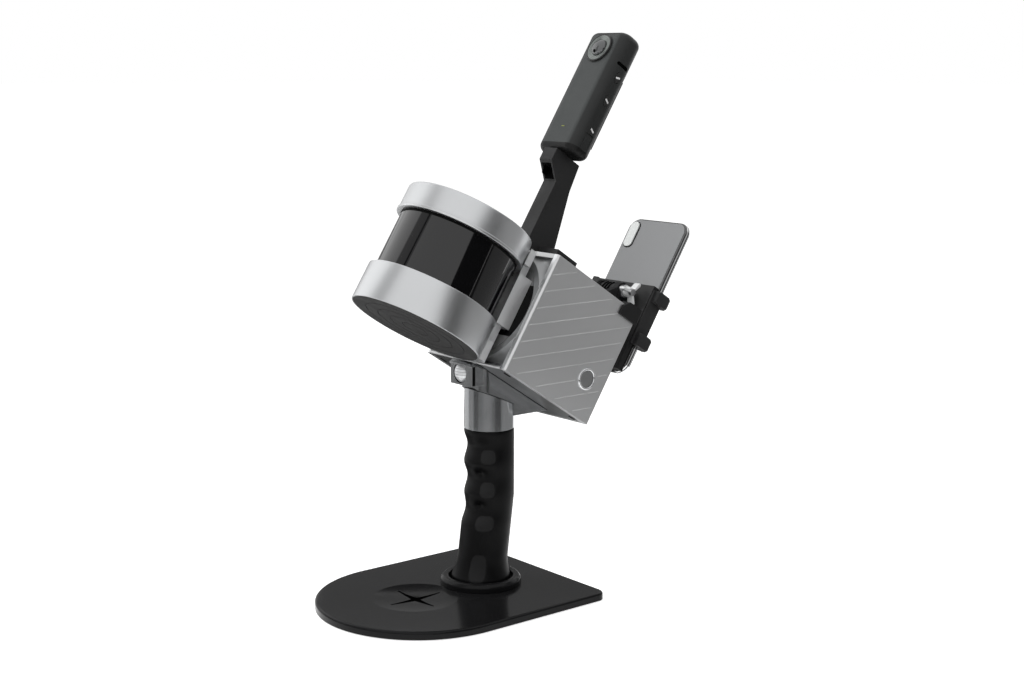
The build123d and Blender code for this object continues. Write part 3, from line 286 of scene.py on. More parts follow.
def make_lines():
    """Fine turned or brushed lines across one measure of the surface."""
    inputs = {"Along": 0.0, "Scale": 3000.0, "Depth": 0.1, "Edge": None}
    group, start, end = new_group("turned_lines", inputs, {"Mask": FLOAT, "Normal": VECTOR})
    fine = put(group, "ShaderNodeTexNoise", noise_dimensions="1D")
    feed(fine, {"W": start["Along"], "Scale": start["Scale"], "Detail": 4.0, "Roughness": 0.7})
    return raise_bumps(group, start, end, fine.outputs["Fac"])


def make_smudges():
    """Slow cloudy change over a surface, for handling marks and uneven gloss."""
    inputs = {"Vector": None, "Scale": 30.0, "Low": 0.3, "High": 0.4}
    group, start, end = new_group("smudges", inputs, {"Value": FLOAT})
    clouds = noise_over(group, start["Vector"], Scale=start["Scale"], Detail=5.0, Distortion=0.6)
    feed(end, {"Value": spread(group, clouds, 0.35, 0.65, start["Low"], start["High"])})
    return group


def make_edge_wear():
    """Mask along rounded edges, broken up by grain."""
    inputs = {"Vector": None, "Width": 0.0006, "Amount": 0.5}
    group, start, end = new_group("edge_wear", inputs, {"Mask": FLOAT})
    bevel = feed(put(group, "ShaderNodeBevel", samples=4), {"Radius": start["Width"]})
    geometry = put(group, "ShaderNodeNewGeometry")
    alike = dot_product(group, bevel.outputs["Normal"], geometry.outputs["Normal"])
    bent = sums(group, "SUBTRACT", 1.0, alike)
    sharp = sums(group, "MULTIPLY", bent, EDGE_SHARPNESS, clamp=True)
    broken = sums(group, "MULTIPLY", sharp, noise_over(group, start["Vector"], Scale=260.0, Detail=4.0))
    feed(end, {"Mask": sums(group, "MULTIPLY", broken, start["Amount"], clamp=True)})
    return group


def make_dust():
    """Thin dust on what faces up."""
    group, start, end = new_group("dust", {"Vector": None, "Amount": 0.2}, {"Mask": FLOAT})
    geometry = put(group, "ShaderNodeNewGeometry")
    split = feed(put(group, "ShaderNodeSeparateXYZ"), {0: geometry.outputs["Normal"]})
    grain = noise_over(group, start["Vector"], Scale=900.0, Detail=6.0)
    specks = sums(group, "POWER", grain, SPECK_CONTRAST, clamp=True)
    facing = sums(group, "MULTIPLY", specks, split.outputs["Z"], clamp=True)
    feed(end, {"Mask": sums(group, "MULTIPLY", facing, start["Amount"], clamp=True)})
    return group


GRAIN = make_grain()
LINES = make_lines()
SMUDGES = make_smudges()
EDGE_WEAR = make_edge_wear()
DUST = make_dust()


# Finishes
TONE_SCALE, FLECK_SHARE, STREAK_SHARE = 0.37, 0.25, 0.35
DUST_COLOUR = (0.35, 0.34, 0.33)
ALUMINIUM_EDGE = (0.85, 0.86, 0.87)
# Dark bands across the start button: painted shade of its fine grooves
GROOVE_SHADE_HALF, GROOVE_SHADE_COLOUR = 0.2, (0.30, 0.30, 0.305)
BUTTON_GROOVE_SHADE = [
    ("z", height - GROOVE_SHADE_HALF, height + GROOVE_SHADE_HALF, GROOVE_SHADE_COLOUR) for height in (181.0, 183.4, 185.8, 188.2)
]
DISC_EDGE_GREY = (0.26, 0.262, 0.265)
finishes = {}


def surface_place(tree, space):
    """Place on the surface: in the stand's frame, or along the tilted head as across, behind and up."""
    place = put(tree, "ShaderNodeTexCoord").outputs["Object"]
    if space == "stand":
        return place
    middle = HEAD + AHEAD * LASER_AHEAD * MM if space == "laser" else HEAD
    mapping = put(tree, "ShaderNodeMapping", vector_type="TEXTURE")
    return feed(mapping, {"Vector": place, "Location": middle, "Rotation": (-TILT, 0, 0)}).outputs["Vector"]


def one_measure(tree, place, measure):
    """One measure of a place: x, y or z, or its distance from the z axis."""
    split = feed(put(tree, "ShaderNodeSeparateXYZ"), {0: place}).outputs
    if measure != "radius":
        return split[measure.upper()]
    flat = feed(put(tree, "ShaderNodeCombineXYZ"), {"X": split["X"], "Y": split["Y"]})
    length = put(tree, "ShaderNodeVectorMath", operation="LENGTH")
    return feed(length, {0: flat.outputs[0]}).outputs["Value"]


def blend_colour(tree, mask, below, above):
    """Colour below where the mask is 0 and above where it is 1; each is a colour or a socket."""
    first, second = ((*value, 1) if isinstance(value, tuple) else value for value in (below, above))
    mix = put(tree, "ShaderNodeMix", data_type="RGBA")
    return feed(mix, {"Factor": mask, MIX_BELOW: first, MIX_ABOVE: second}).outputs[MIX_COLOUR]


def faces_towards(tree, direction):
    """1 where the surface faces a direction and 0 elsewhere."""
    alike = dot_product(tree, put(tree, "ShaderNodeTexCoord").outputs["Normal"], direction)
    return spread(tree, alike, 0.9, 0.98, 0.0, 1.0)


def within_zone(tree, place, measure, low, high):
    """1 where a measure of the place lies between two values in millimetres."""
    within = put(tree, "ShaderNodeMath", operation="COMPARE")
    middle, half = (low + high) / 2 * MM, (high - low) / 2 * MM
    return feed(within, {0: one_measure(tree, place, measure), 1: middle, 2: half}).outputs[0]


def edge_normal(tree, rounded_edge):
    """Normal that lets hard edges look rounded, or the plain one where that is 0."""
    if not rounded_edge:
        return put(tree, "ShaderNodeNewGeometry").outputs["Normal"]
    return feed(put(tree, "ShaderNodeBevel", samples=4), {"Radius": rounded_edge * MM}).outputs["Normal"]


def grey(tone):
    """Neutral colour of one tone."""
    return (tone, tone, tone)


def finish(
    name, colour, rough, metal=0.0, space="head", grain=None, lines=None, clouds=(40.0, 0.12),
    wear=None, dust=0.0, coat=0.0, coat_rough=0.1, shade=0.12, gleam=0.5, painted_pad_highlight=None, zones=(), facing=None,
    rounded_edge=0.4,
):
    """Finish of one kind of surface.

    colour and rough are its plain colour and roughness, grain is (scale, depth), lines is
    (measure, scale, depth), clouds is (scale, share of the roughness), wear is (width, amount, colour)
    of lighter rounded edges, partly wear and on the aluminium partly a painted edge highlight, shade is
    how far the colour wanders and gleam how strongly it shines. painted_pad_highlight is the colour of
    the painted highlight on the grip's thumb pads, zones are (measure, low, high, colour) in millimetres
    for bands that are mostly painted shade and painted reflection, and facing is (direction, colour) for
    painted light or shade on what faces one way. rounded_edge is how far its hard edges look rounded, in
    millimetres.
    """
    material, shader = new_material(name)
    tree = shader.id_data
    place = surface_place(tree, space)
    scale, share = clouds
    gloss = use(tree, SMUDGES, Vector=place, Scale=scale, Low=rough * (1 - share), High=rough * (1 + share))
    tone = use(tree, SMUDGES, Vector=place, Scale=scale * TONE_SCALE, Low=0.0, High=1.0)
    darker = tuple(c * (1 - shade) for c in colour)
    lighter = tuple(min(c * (1 + shade), 1) for c in colour)
    skin = blend_colour(tree, tone.outputs["Value"], darker, lighter)
    # facing paints light or shade: another colour where the surface faces one way
    if facing:
        skin = blend_colour(tree, faces_towards(tree, facing[0]), skin, facing[1])
    # zones paint bands, mostly painted shade and painted reflection
    for measure, low, high, zone_colour in zones:
        skin = blend_colour(tree, within_zone(tree, place, measure, low, high), skin, zone_colour)
    normal = edge_normal(tree, rounded_edge)
    if grain:
        speckle = use(tree, GRAIN, Vector=place, Scale=grain[0], Depth=grain[1], Edge=normal).outputs
        normal = speckle["Normal"]
        skin = blend_colour(tree, sums(tree, "MULTIPLY", speckle["Mask"], FLECK_SHARE), skin, darker)
    if lines:
        along = one_measure(tree, place, lines[0])
        turned = use(tree, LINES, Along=along, Scale=lines[1], Depth=lines[2], Edge=normal).outputs
        normal = turned["Normal"]
        skin = blend_colour(tree, sums(tree, "MULTIPLY", turned["Mask"], STREAK_SHARE), skin, darker)
    # Painted highlight: lighter colour where the mesh's vertex attribute is 1
    if painted_pad_highlight:
        mark = put(tree, "ShaderNodeAttribute", attribute_name="painted_pad_highlight")
        skin = blend_colour(tree, mark.outputs["Fac"], skin, painted_pad_highlight)
    if wear:
        rubbed = use(tree, EDGE_WEAR, Vector=place, Width=wear[0], Amount=wear[1])
        skin = blend_colour(tree, rubbed.outputs["Mask"], skin, wear[2])
    if dust:
        settled = use(tree, DUST, Vector=surface_place(tree, "stand"), Amount=dust)
        skin = blend_colour(tree, settled.outputs["Mask"], skin, DUST_COLOUR)
    feed(shader, {
        "Base Color": skin, "Metallic": metal, "Roughness": gloss.outputs["Value"], "Normal": normal,
        "Specular IOR Level": gleam, "Coat Weight": coat, "Coat Roughness": coat_rough,
    })
    finishes[name] = material


# Finishes of the stand, grip and neck
finish("stand_paint", (0.0085, 0.0085, 0.009), 0.15, space="stand", grain=(2600, 0.02), clouds=(14, 0.15),
       dust=0.01, gleam=0.12, wear=(0.0007, 0.12, grey(0.05)))
finish("stand_pad", grey(0.02), 0.8, space="stand", grain=(1500, 0.25), dust=0.1)
finish("sight_paint", grey(0.001), 0.9, space="stand", grain=(3000, 0.1), gleam=0.0)
finish("screw_steel", (0.5, 0.5, 0.51), 0.3, metal=1.0, lines=("radius", 2500, 0.1),
       wear=(0.0003, 0.5, ALUMINIUM_EDGE))
finish("core_aluminium", (0.5, 0.51, 0.52), 0.35, metal=1.0, space="stand", lines=("z", 2500, 0.1))
finish("battery_shell", (0.03, 0.06, 0.12), 0.5, space="stand", grain=(1800, 0.1))
# The thumb pads are painted a little lighter: a painted highlight
finish("grip_rubber", (0.0045, 0.0045, 0.0048), 0.42, space="stand", grain=(2200, 0.15), clouds=(60, 0.12),
       dust=0.005, gleam=0.10, painted_pad_highlight=(0.020, 0.020, 0.0205))
finish("neck_aluminium", (0.47, 0.48, 0.49), 0.17, metal=0.97, space="stand", lines=("z", 900, 0.002),
       clouds=(30, 0.08), shade=0.02, rounded_edge=0.2)
finish("start_button", (0.80, 0.81, 0.82), 0.42, metal=0.8, space="stand", grain=(2500, 0.01), shade=0.03,
       rounded_edge=0, zones=BUTTON_GROOVE_SHADE)
# A darker copy of the aluminium: painted shade for the wedge beneath the box
finish("shaded_wedge_aluminium", (0.26, 0.265, 0.27), 0.24, metal=0.95, space="stand", grain=(2800, 0.01),
       wear=(0.0005, 0.4, grey(0.6)), shade=0.04)

# Finishes of the box
# Lighter rounded edges on the box aluminium: partly wear, partly a painted edge highlight
rubbed_and_lit_edge = (0.0005, 0.5, ALUMINIUM_EDGE)
blasted = dict(rough=0.36, metal=0.92, grain=(3200, 0.03), clouds=(16, 0.08), wear=rubbed_and_lit_edge, shade=0.03)
# The panels' faces that look ahead, their front edge strips, are painted lighter: a painted highlight
finish("panel_aluminium", (0.665, 0.67, 0.675), facing=(AHEAD, (0.80, 0.81, 0.82)), **blasted)
# The plates' faces that look ahead are painted darker: painted shade on one side
finish("plate_aluminium", (0.56, 0.565, 0.57), facing=(AHEAD, (0.50, 0.505, 0.51)), **blasted)
# A darker copy of the aluminium: painted shade for the bottom plate, which faces down
finish("shaded_underside_aluminium", (0.15, 0.153, 0.157), 0.34, metal=0.92, grain=(3200, 0.03),
       wear=(0.0005, 0.6, grey(0.6)), shade=0.04)
finish("groove_cut", (0.80, 0.805, 0.81), 0.45, metal=0.35, grain=(2000, 0.05))
finish("port_shell", (0.5, 0.5, 0.52), 0.3, metal=1.0, grain=(2500, 0.05))
finish("bezel_chrome", (0.78, 0.79, 0.8), 0.08, metal=1.0, grain=(900, 0.01), clouds=(60, 0.3), shade=0.03)
finish("power_button", (0.34, 0.345, 0.35), 0.34, metal=0.9, grain=(3000, 0.06))
finish("circuit_board", (0.02, 0.12, 0.06), 0.35, grain=(1500, 0.2))
finish("cover_aluminium", (0.34, 0.345, 0.35), 0.34, metal=0.55, grain=(3000, 0.03),
       wear=(0.0005, 0.3, grey(0.5)), shade=0.04)

# Finishes of the turning drive and the laser head
finish("housing_aluminium", (0.5, 0.5, 0.51), 0.4, metal=1.0, lines=("radius", 1500, 0.15))
finish("drive_steel", (0.5, 0.5, 0.51), 0.25, metal=1.0, lines=("y", 1500, 0.15))
finish("slip_ring_plastic", grey(0.06), 0.5, grain=(1500, 0.15))
# Near-black disc with grey bands above and below; the black between them is painted shade beside the yoke's
# block
finish("turntable_black", (0.002, 0.002, 0.0022), 0.45, grain=(2500, 0.1), gleam=0.1,
       zones=(("z", 22, 44, DISC_EDGE_GREY), ("z", -44, -23, DISC_EDGE_GREY)))
# Lighter edges are partly wear, partly a painted edge highlight; faces that look right are painted much
# lighter, a painted highlight on the yoke's lit side
finish("yoke_aluminium", (0.42, 0.425, 0.43), 0.36, metal=0.5, grain=(3000, 0.03),
       wear=(0.0006, 0.8, ALUMINIUM_EDGE), shade=0.04, facing=(RIGHT, (0.80, 0.805, 0.81)))
finish("laser_ring_aluminium", (0.62, 0.63, 0.64), 0.34, metal=0.97, space="laser", clouds=(30, 0.03),
       shade=0.02, lines=("z", 700, 0.0), rounded_edge=0)
finish("laser_underside", grey(0.050), 0.6, space="laser", lines=("radius", 900, 0.06), shade=0.05,
       gleam=0.12)
finish("laser_window", (0.003, 0.003, 0.0035), 0.06, space="laser", grain=(400, 0.004), clouds=(20, 0.2),
       coat=0.25, coat_rough=0.03, rounded_edge=0)
# Near-black for the crown's window seal, and for painted shade in gaps, seams and slots and a painted shadow
# round the phone's camera bump
finish("seal_and_shade_black", grey(0.002), 0.7, space="laser", grain=(1500, 0.2), gleam=0.08)
finish("laser_drum", grey(0.02), 0.5, space="laser", grain=(1500, 0.1))
finish("optic_glass", (0.05, 0.02, 0.04), 0.05, space="laser", grain=(500, 0.01))

# Finishes of the camera and its arm
finish("arm_plastic", (0.020, 0.020, 0.0205), 0.5, grain=(2200, 0.12), gleam=0.25,
       wear=(0.0006, 0.15, grey(0.08)))
finish("camera_shell", (0.022, 0.023, 0.023), 0.42, grain=(2600, 0.10), gleam=0.22,
       # Faces that look ahead are painted lighter than the sides: painted light on the lit face
       wear=(0.0006, 0.1, grey(0.10)), facing=(AHEAD, (0.050, 0.054, 0.054)),
       # The shell's lowest 6 mm is painted near-black: partly a dark foot, partly painted shade where the
       # camera sits on the arm
       zones=(("z", 138.0, 144.6, grey(0.004)),))
finish("camera_keys", grey(0.020), 0.35, grain=(2200, 0.1), gleam=0.3)
finish("camera_screen", (0.004, 0.004, 0.005), 0.08, grain=(300, 0.004), coat=0.1, gleam=0.3)
finish("lens_ring", (0.20, 0.215, 0.207), 0.26, metal=0.95, lines=("z", 1800, 0.03), rounded_edge=0.15)
finish("lens_glass", (0.10, 0.102, 0.104), 0.12, metal=0.6, grain=(300, 0.002), coat=0.5, coat_rough=0.06,
       rounded_edge=0)
finish("status_lamp", (0.22, 0.25, 0.03), 0.3, grain=(2000, 0.02))
# Near-black for painted shade in slots and grooves, and for the painted dark reflection on the lens domes
finish("slot_black", grey(0.001), 0.9, grain=(1500, 0.2), gleam=0.05)
finish("mark_white", grey(0.8), 0.5, grain=(2500, 0.05))

# Finishes of the clamp and the phone
moulded = dict(rough=0.5, grain=(1800, 0.15), gleam=0.22)
finish("bracket_plastic", (0.012, 0.012, 0.0125), wear=(0.0006, 0.12, grey(0.05)), **moulded)
finish("knob_chrome", (0.86, 0.87, 0.88), 0.2, metal=0.7, grain=(700, 0.01), shade=0.03)
finish("knob_white", (0.82, 0.83, 0.83), 0.3, grain=(900, 0.01), shade=0.03)
finish("clamp_plastic", (0.013, 0.013, 0.0135), wear=(0.0006, 0.2, grey(0.08)),
       # Faces that look ahead are painted lighter: painted light on the clamp's lit front
       facing=(AHEAD, (0.036, 0.036, 0.0365)), **moulded)
finish("jaw_plastic", (0.024, 0.024, 0.0245), wear=(0.0006, 0.2, grey(0.08)), **moulded)
finish("clamp_rubber", grey(0.003), 0.65, grain=(1200, 0.3), gleam=0.12)
finish("phone_rail", (0.92, 0.925, 0.93), 0.12, metal=0.9, grain=(900, 0.01), shade=0.03,
       # Two dark bands along the polished rail: a painted dark reflection
       zones=(("y", 127.0, 130.3, grey(0.02)), ("y", 131.4, 132.9, grey(0.02))))
finish("phone_glass", (0.215, 0.22, 0.225), 0.16, grain=(300, 0.002), clouds=(25, 0.1), coat=0.3, shade=0.015)
finish("phone_screen", (0.004, 0.004, 0.005), 0.08, grain=(300, 0.002), coat=0.1, gleam=0.3)
finish("phone_camera", (0.75, 0.77, 0.76), 0.12, grain=(300, 0.004), coat=0.5, shade=0.02)


def dress_nodes():
    """Every CAD node in the finish of its slot, with painted shade: darker metal on the wedge and under the
    box.
    """
    slot_of = {entry["node"]: entry["material_slot"] for entry in frame["record"]["subparts"]}
    shaded_copy = {"wedge_adapter": "shaded_wedge_aluminium", "bottom_plate": "shaded_underside_aluminium"}
    for label, node in frame["nodes"].items():
        node.data.materials.clear()
        node.data.materials.append(finishes[shaded_copy.get(label, slot_of[label])])


# Places in the frames of the pieces
def frame_at(origin, x, y, z):
    """Placing with its origin in metres and three directions."""
    place = Matrix((x, y, z)).transposed().to_4x4()
    place.translation = origin
    return place


def in_head(right, behind, up):
    """Point of the tilted head, in metres, from millimetres to the right, behind and up."""
    return HEAD + (RIGHT * right - AHEAD * behind + UP * up) * MM


def on_front(right, behind, up):
    """Placing on what faces ahead: x runs to the right, y up and z ahead."""
    return frame_at(in_head(right, behind, up), RIGHT, UP, AHEAD)


def on_right_side(right, behind, up):
    """Placing on what faces right: x runs behind, y up and z to the right."""
    return frame_at(in_head(right, behind, up), -AHEAD, UP, RIGHT)


STAND_FRAME = Matrix.Identity(4)
HEAD_FRAME = frame_at(HEAD, RIGHT, -AHEAD, UP)
LASER_FRAME = frame_at(in_head(0, -LASER_AHEAD, 0), RIGHT, -AHEAD, UP)

# Mesh shapes
NEARLY_NOTHING = 0.001
MOST_OF_A_SIDE = 0.49


def plate_outline(half_width, half_height):
    """Corners of a plate about its middle."""
    return [
        (-half_width, -half_height), (half_width, -half_height),
        (half_width, half_height), (-half_width, half_height),
    ]


def ring_outline(inner, outer, low, high):
    """Corners of a plain ring's section, as radius and height."""
    return [(inner, low), (outer, low), (outer, high), (inner, high)]


def dome_outline(radius, foot, rim, rise, steps):
    """Section of a domed disc: straight from its foot to its rim, then round up to the middle."""
    profile = [(0, foot), (radius, foot), (radius, rim)]
    for step in range(1, steps):
        turn = math.radians(90 / steps * step)
        profile.append((radius * math.cos(turn), rim + rise * math.sin(turn)))
    return profile + [(0, rim + rise)]


def join_rows(shape, near, far):
    """Faces between two closed rows of corners."""
    for k in range(len(near)):
        j = (k + 1) % len(near)
        shape.faces.new((near[k], near[j], far[j], far[k]))


def lathe(profile, sectors=96):
    """Closed turned body about z, from its points of radius and height."""
    shape = bmesh.new()
    rings = []
    for radius, height in profile:
        turns = sectors if radius > NEARLY_NOTHING else 1
        angles = [2 * math.pi * k / sectors for k in range(turns)]
        rings.append([shape.verts.new((radius * math.cos(a), radius * math.sin(a), height)) for a in angles])
    for low, high in zip(rings, rings[1:] + rings[:1]):
        for k in range(sectors):
            corners = []
            for ring, step in ((low, k), (low, k + 1), (high, k + 1), (high, k)):
                corner = ring[step % len(ring)]
                if corner not in corners:
                    corners.append(corner)
            if len(corners) > 2:
                shape.faces.new(corners)
    return shape


def rounded(points, radius, steps=4):
    """Closed outline with its corners rounded; radius is one value or one for each corner."""
    count = len(points)
    radii = radius if isinstance(radius, (list, tuple)) else [radius] * count
    outline = []
    for k, point in enumerate(points):
        here = Vector(point)
        before, after = Vector(points[k - 1]) - here, Vector(points[(k + 1) % count]) - here
        if radii[k] < NEARLY_NOTHING:
            outline.append(tuple(here))
            continue
        half = before.angle(after) / 2
        cut = min(radii[k] / math.tan(half), before.length * MOST_OF_A_SIDE, after.length * MOST_OF_A_SIDE)
        first, last = here + before.normalized() * cut, here + after.normalized() * cut
        for step in range(steps + 1):
            share = step / steps
            bend = first.lerp(here, share).lerp(here.lerp(last, share), share)
            outline.append(tuple(bend))
    return outline


def prism(outline, low, high, edge=0.0, steps=3):
    """Upright body on an outline in x and y, with its rims rounded."""
    shape = bmesh.new()
    bottom = [shape.verts.new((x, y, low)) for x, y in outline]
    top = [shape.verts.new((x, y, high)) for x, y in outline]
    shape.faces.new(bottom[::-1])
    shape.faces.new(top)
    join_rows(shape, bottom, top)
    if edge:
        rims = [e for e in shape.edges if abs(e.verts[0].co.z - e.verts[1].co.z) < 1e-6]
        bmesh.ops.bevel(shape, geom=rims, offset=edge, segments=steps, affect="EDGES", profile=0.5)
    return shape


def block_shape(lows, highs, edge):
    """Box between two corners with its edges rounded."""
    shape = bmesh.new()
    bmesh.ops.create_cube(shape, size=1)
    for corner in shape.verts:
        corner.co = Vector([(a + b) / 2 + c * (b - a) for a, b, c in zip(lows, highs, corner.co)])
    bmesh.ops.bevel(shape, geom=shape.edges, offset=edge, segments=4, affect="EDGES", profile=0.5)
    return shape


def move_shape(shape, matrix):
    """Moves a shape by a placing."""
    bmesh.ops.transform(shape, matrix=matrix, verts=shape.verts)


def join_shapes(shapes):
    """Several shapes as one."""
    whole = bmesh.new()
    for shape in shapes:
        mesh = bpy.data.meshes.new("part")
        shape.to_mesh(mesh)
        shape.free()
        whole.from_mesh(mesh)
        bpy.data.meshes.remove(mesh)
    return whole


def piece(name, shape, place, finish_name, body, stands_for=(), angle=35):
    """Finished piece: its shape in millimetres set in place, shaded smooth and riding on its body."""
    bmesh.ops.recalc_face_normals(shape, faces=shape.faces)
    move_shape(shape, place @ Matrix.Scale(MM, 4))
    mesh = bpy.data.meshes.new(name)
    shape.to_mesh(mesh)
    shape.free()
    mesh.shade_smooth()
    mesh.set_sharp_from_angle(angle=math.radians(angle))
    mesh.materials.append(finishes[finish_name])
    thing = in_scene(name, mesh)
    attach(thing, body)
    if stands_for:
        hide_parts(*stands_for)


# Grip
GRIP_RADIUS, GRIP_BORE = 20.5, 14.2
GRIP_FOOT, GRIP_TOP, END_ROUNDING = 7.5, 136.6, 2.0
GRIP_SECTORS, GRIP_ROWS = 144, 150
LEAN_TOP, LEAN_FOOT, LEAN_AHEAD = 80.0, 14.0, 8.7
FLARE_TOP, FLARE_TALL, FLARE = 33.0, 19.0, 3.6
FIRST_VALLEY, LAST_VALLEY, VALLEY_PITCH = 122.0, 69.6, 26.2
VALLEY_DEPTHS = (4.2, 4.2, 3.36)
# Thumb pads as height of the middle, half height, turn of the middle and half width in degrees; the
# shallow pads are also painted lighter as a painted highlight
THUMB_PADS = ((115.3, 5.6, -41, 18), (87.8, 6.3, -43, 18), (60.3, 6.2, -44, 22), (24, 11, -48, 18))
PAD_DEPTH = 0.25
DENT_HEIGHTS, DENT_TURN, DENT_DEPTH = (101.5, 74.5), -62, 1.9


def held(value):
    """Value held between 0 and 1."""
    return min(max(value, 0), 1)


def degrees_from(angle, turn):
    """How far round an angle lies from a turn in degrees."""
    return (math.degrees(angle) - turn + 180) % 360 - 180


def lean(z):
    """How far ahead of the neck the grip's middle lies at a height."""
    return LEAN_AHEAD * held((LEAN_TOP - z) / (LEAN_TOP - LEAN_FOOT))


def valley_depth(angle, z):
    """Depth of the finger valleys, which lie at the front and fade towards the back."""
    if not LAST_VALLEY - VALLEY_PITCH / 2 < z < FIRST_VALLEY + VALLEY_PITCH / 2:
        return 0.0
    swing = 0.5 + 0.5 * math.cos(2 * math.pi * (z - FIRST_VALLEY) / VALLEY_PITCH)
    wrap = (0.5 + 0.5 * math.cos(angle + math.pi / 2)) ** 3
    count = min(2, max(0, round((FIRST_VALLEY - z) / VALLEY_PITCH)))
    return VALLEY_DEPTHS[count] * swing * wrap


def pad_share(angle, z):
    """1 on a thumb pad, 0 beside it and between at its rim."""
    found = 0.0
    for middle, half_height, turn, half_width in THUMB_PADS:
        span = (abs(degrees_from(angle, turn)) / half_width) ** 3 + (abs(z - middle) / half_height) ** 3
        found = max(found, held((1.15 - span) / 0.3))
    return found


def dent_depth(angle, z):
    """Depth of the small dents between the upper thumb pads."""
    round_about = (degrees_from(angle, DENT_TURN) / 9) ** 2
    return sum(DENT_DEPTH * math.exp(-round_about - ((z - middle) / 2.6) ** 2) for middle in DENT_HEIGHTS)


def grip_surface(angle, z):
    """Point of the rubber sleeve at an angle round it and a height, and how far it belongs to a thumb pad."""
    pad = pad_share(angle, z)
    radius = GRIP_RADIUS + FLARE * held((FLARE_TOP - z) / FLARE_TALL) ** 2
    radius -= valley_depth(angle, z) + PAD_DEPTH * pad + dent_depth(angle, z)
    radius -= 1.2 * max(0, (z - GRIP_TOP) / END_ROUNDING + 1) ** 2
    radius -= max(0, (GRIP_FOOT - z) / END_ROUNDING + 1) ** 2
    return radius * math.cos(angle), radius * math.sin(angle) - lean(z), pad


def build_grip():
    """Rubber sleeve with its finger valleys and thumb pads, hollow for the core."""
    shape = bmesh.new()
    # The attribute holds each corner's share of a thumb pad, which the finish paints as a highlight
    layer = shape.verts.layers.float.new("painted_pad_highlight")
    angles = [2 * math.pi * k / GRIP_SECTORS for k in range(GRIP_SECTORS)]
    rings = []
    for count in range(GRIP_ROWS + 1):
        z = GRIP_FOOT + (GRIP_TOP - GRIP_FOOT) * count / GRIP_ROWS
        ring = []
        for angle in angles:
            x, y, pad = grip_surface(angle, z)
            corner = shape.verts.new((x, y, z))
            corner[layer] = pad
            ring.append(corner)
        rings.append(ring)
    for z in (GRIP_TOP, LEAN_TOP, LEAN_FOOT, GRIP_FOOT):
        middle = -lean(z)
        rings.append([
            shape.verts.new((GRIP_BORE * math.cos(a), GRIP_BORE * math.sin(a) + middle, z)) for a in angles
        ])
    for low, high in zip(rings, rings[1:] + rings[:1]):
        join_rows(shape, low, high)
    piece("grip_rubber_sleeve", shape, STAND_FRAME, "grip_rubber", "scanner", ("grip_sleeve",), angle=50)


# Stand
FOOT_AHEAD, SIGHT_AHEAD = 8.7, 75.0
DISH_RIM, DISH_TOP, DISH_DEPTH = 34.45, 7.18, 1.75


def build_collar():
    """Rounded collar round the grip's foot."""
    bore, foot, top = 26.5, 7.2, 14.0
    section = [(bore, foot), (33.4, foot), (33.2, 11.4), (30.8, top), (bore, top)]
    at_foot = Matrix.Translation(Vector((0, -FOOT_AHEAD, 0)) * MM)
    collar = lathe(rounded(section, [0, 0.5, 2.4, 2.4, 1.8], steps=8))
    piece("collar_ring", collar, at_foot, "stand_paint", "stand", ("base_collar",))


def dish_height(radius):
    """Height of the sight's shallow dish at a radius from its middle."""
    return DISH_TOP - DISH_DEPTH * (1 - (radius / DISH_RIM) ** 2.2)


def build_sight():
    """Shallow dish in the base with its tapered cross."""
    at_sight = Matrix.Translation(Vector((0, -SIGHT_AHEAD, 0)) * MM)
    radii = [DISH_RIM * k / 24 for k in range(25)]
    dish = [(radius, dish_height(radius)) for radius in radii] + [(DISH_RIM, 5.4), (0, 5.4)]
    piece("sight_dish", lathe(dish, 128), at_sight, "stand_paint", "stand")
    cross = bmesh.new()
    half, waist, tip, thick, steps = 24.0, 3.4, 0.45, 0.12, 12
    for quarter in range(4):
        turn = Matrix.Rotation(math.radians(90 * quarter), 3, "Z")
        rows = []
        for step in range(steps + 1):
            x = half * step / steps
            y = waist + (tip - waist) * (step / steps) ** 0.6
            z = dish_height(x) + thick
            corners = ((x, -y, z - thick), (x, -y, z), (x, y, z), (x, y, z - thick))
            rows.append([cross.verts.new(turn @ Vector(corner)) for corner in corners])
        for near, far in zip(rows, rows[1:]):
            for k in range(3):
                cross.faces.new((near[k], near[k + 1], far[k + 1], far[k]))
        cross.faces.new(rows[-1])
    piece("sight_cross_inlay", cross, at_sight, "sight_paint", "stand", ("sight_cross",))


# Laser head
RING_RADIUS, RING_BORE = 53.7, 47.2
CROWN_FOOT, CROWN_TOP = 28.4, 50.05
FOOT_RING_LOW, FOOT_RING_HIGH = -51.2, -19.9


def build_laser_rings():
    """Crown with its lip, foot ring, and a black seal under the crown that also paints the shade of its lip.
    """
    lip, inside = 54.4, CROWN_TOP - 4.0
    section = [
        (RING_BORE, CROWN_FOOT), (lip, CROWN_FOOT), (lip, 30.4), (RING_RADIUS, 30.9),
        (RING_RADIUS, CROWN_TOP), (0, CROWN_TOP), (0, inside), (RING_BORE, inside),
    ]
    crown = lathe(rounded(section, [0.2, 0.5, 0.3, 0.2, 1.2, 0, 0, 0]), 128)
    piece("laser_crown", crown, LASER_FRAME, "laser_ring_aluminium", "turntable", ("laser_top_ring",))
    outside, floor, underside = 54.9, -44.0, -49.2
    section = [
        (RING_RADIUS, FOOT_RING_LOW), (outside, FOOT_RING_LOW), (outside, FOOT_RING_HIGH),
        (RING_BORE, FOOT_RING_HIGH), (RING_BORE, floor), (0, floor), (0, underside), (RING_RADIUS, underside),
    ]
    foot = lathe(rounded(section, [0.1, 0.5, 0.5, 0.2, 0, 0, 0, 0]), 128)
    piece("laser_foot_ring", foot, LASER_FRAME, "laser_ring_aluminium", "turntable", ("laser_base_ring",))
    # Black ring under the crown: partly a seal, partly painted shade of the gap under the crown's lip
    seal = lathe(rounded(ring_outline(48.5, 50.3, 26.3, 28.5), 0.3), 128)
    piece("window_seal", seal, LASER_FRAME, "seal_and_shade_black", "turntable")


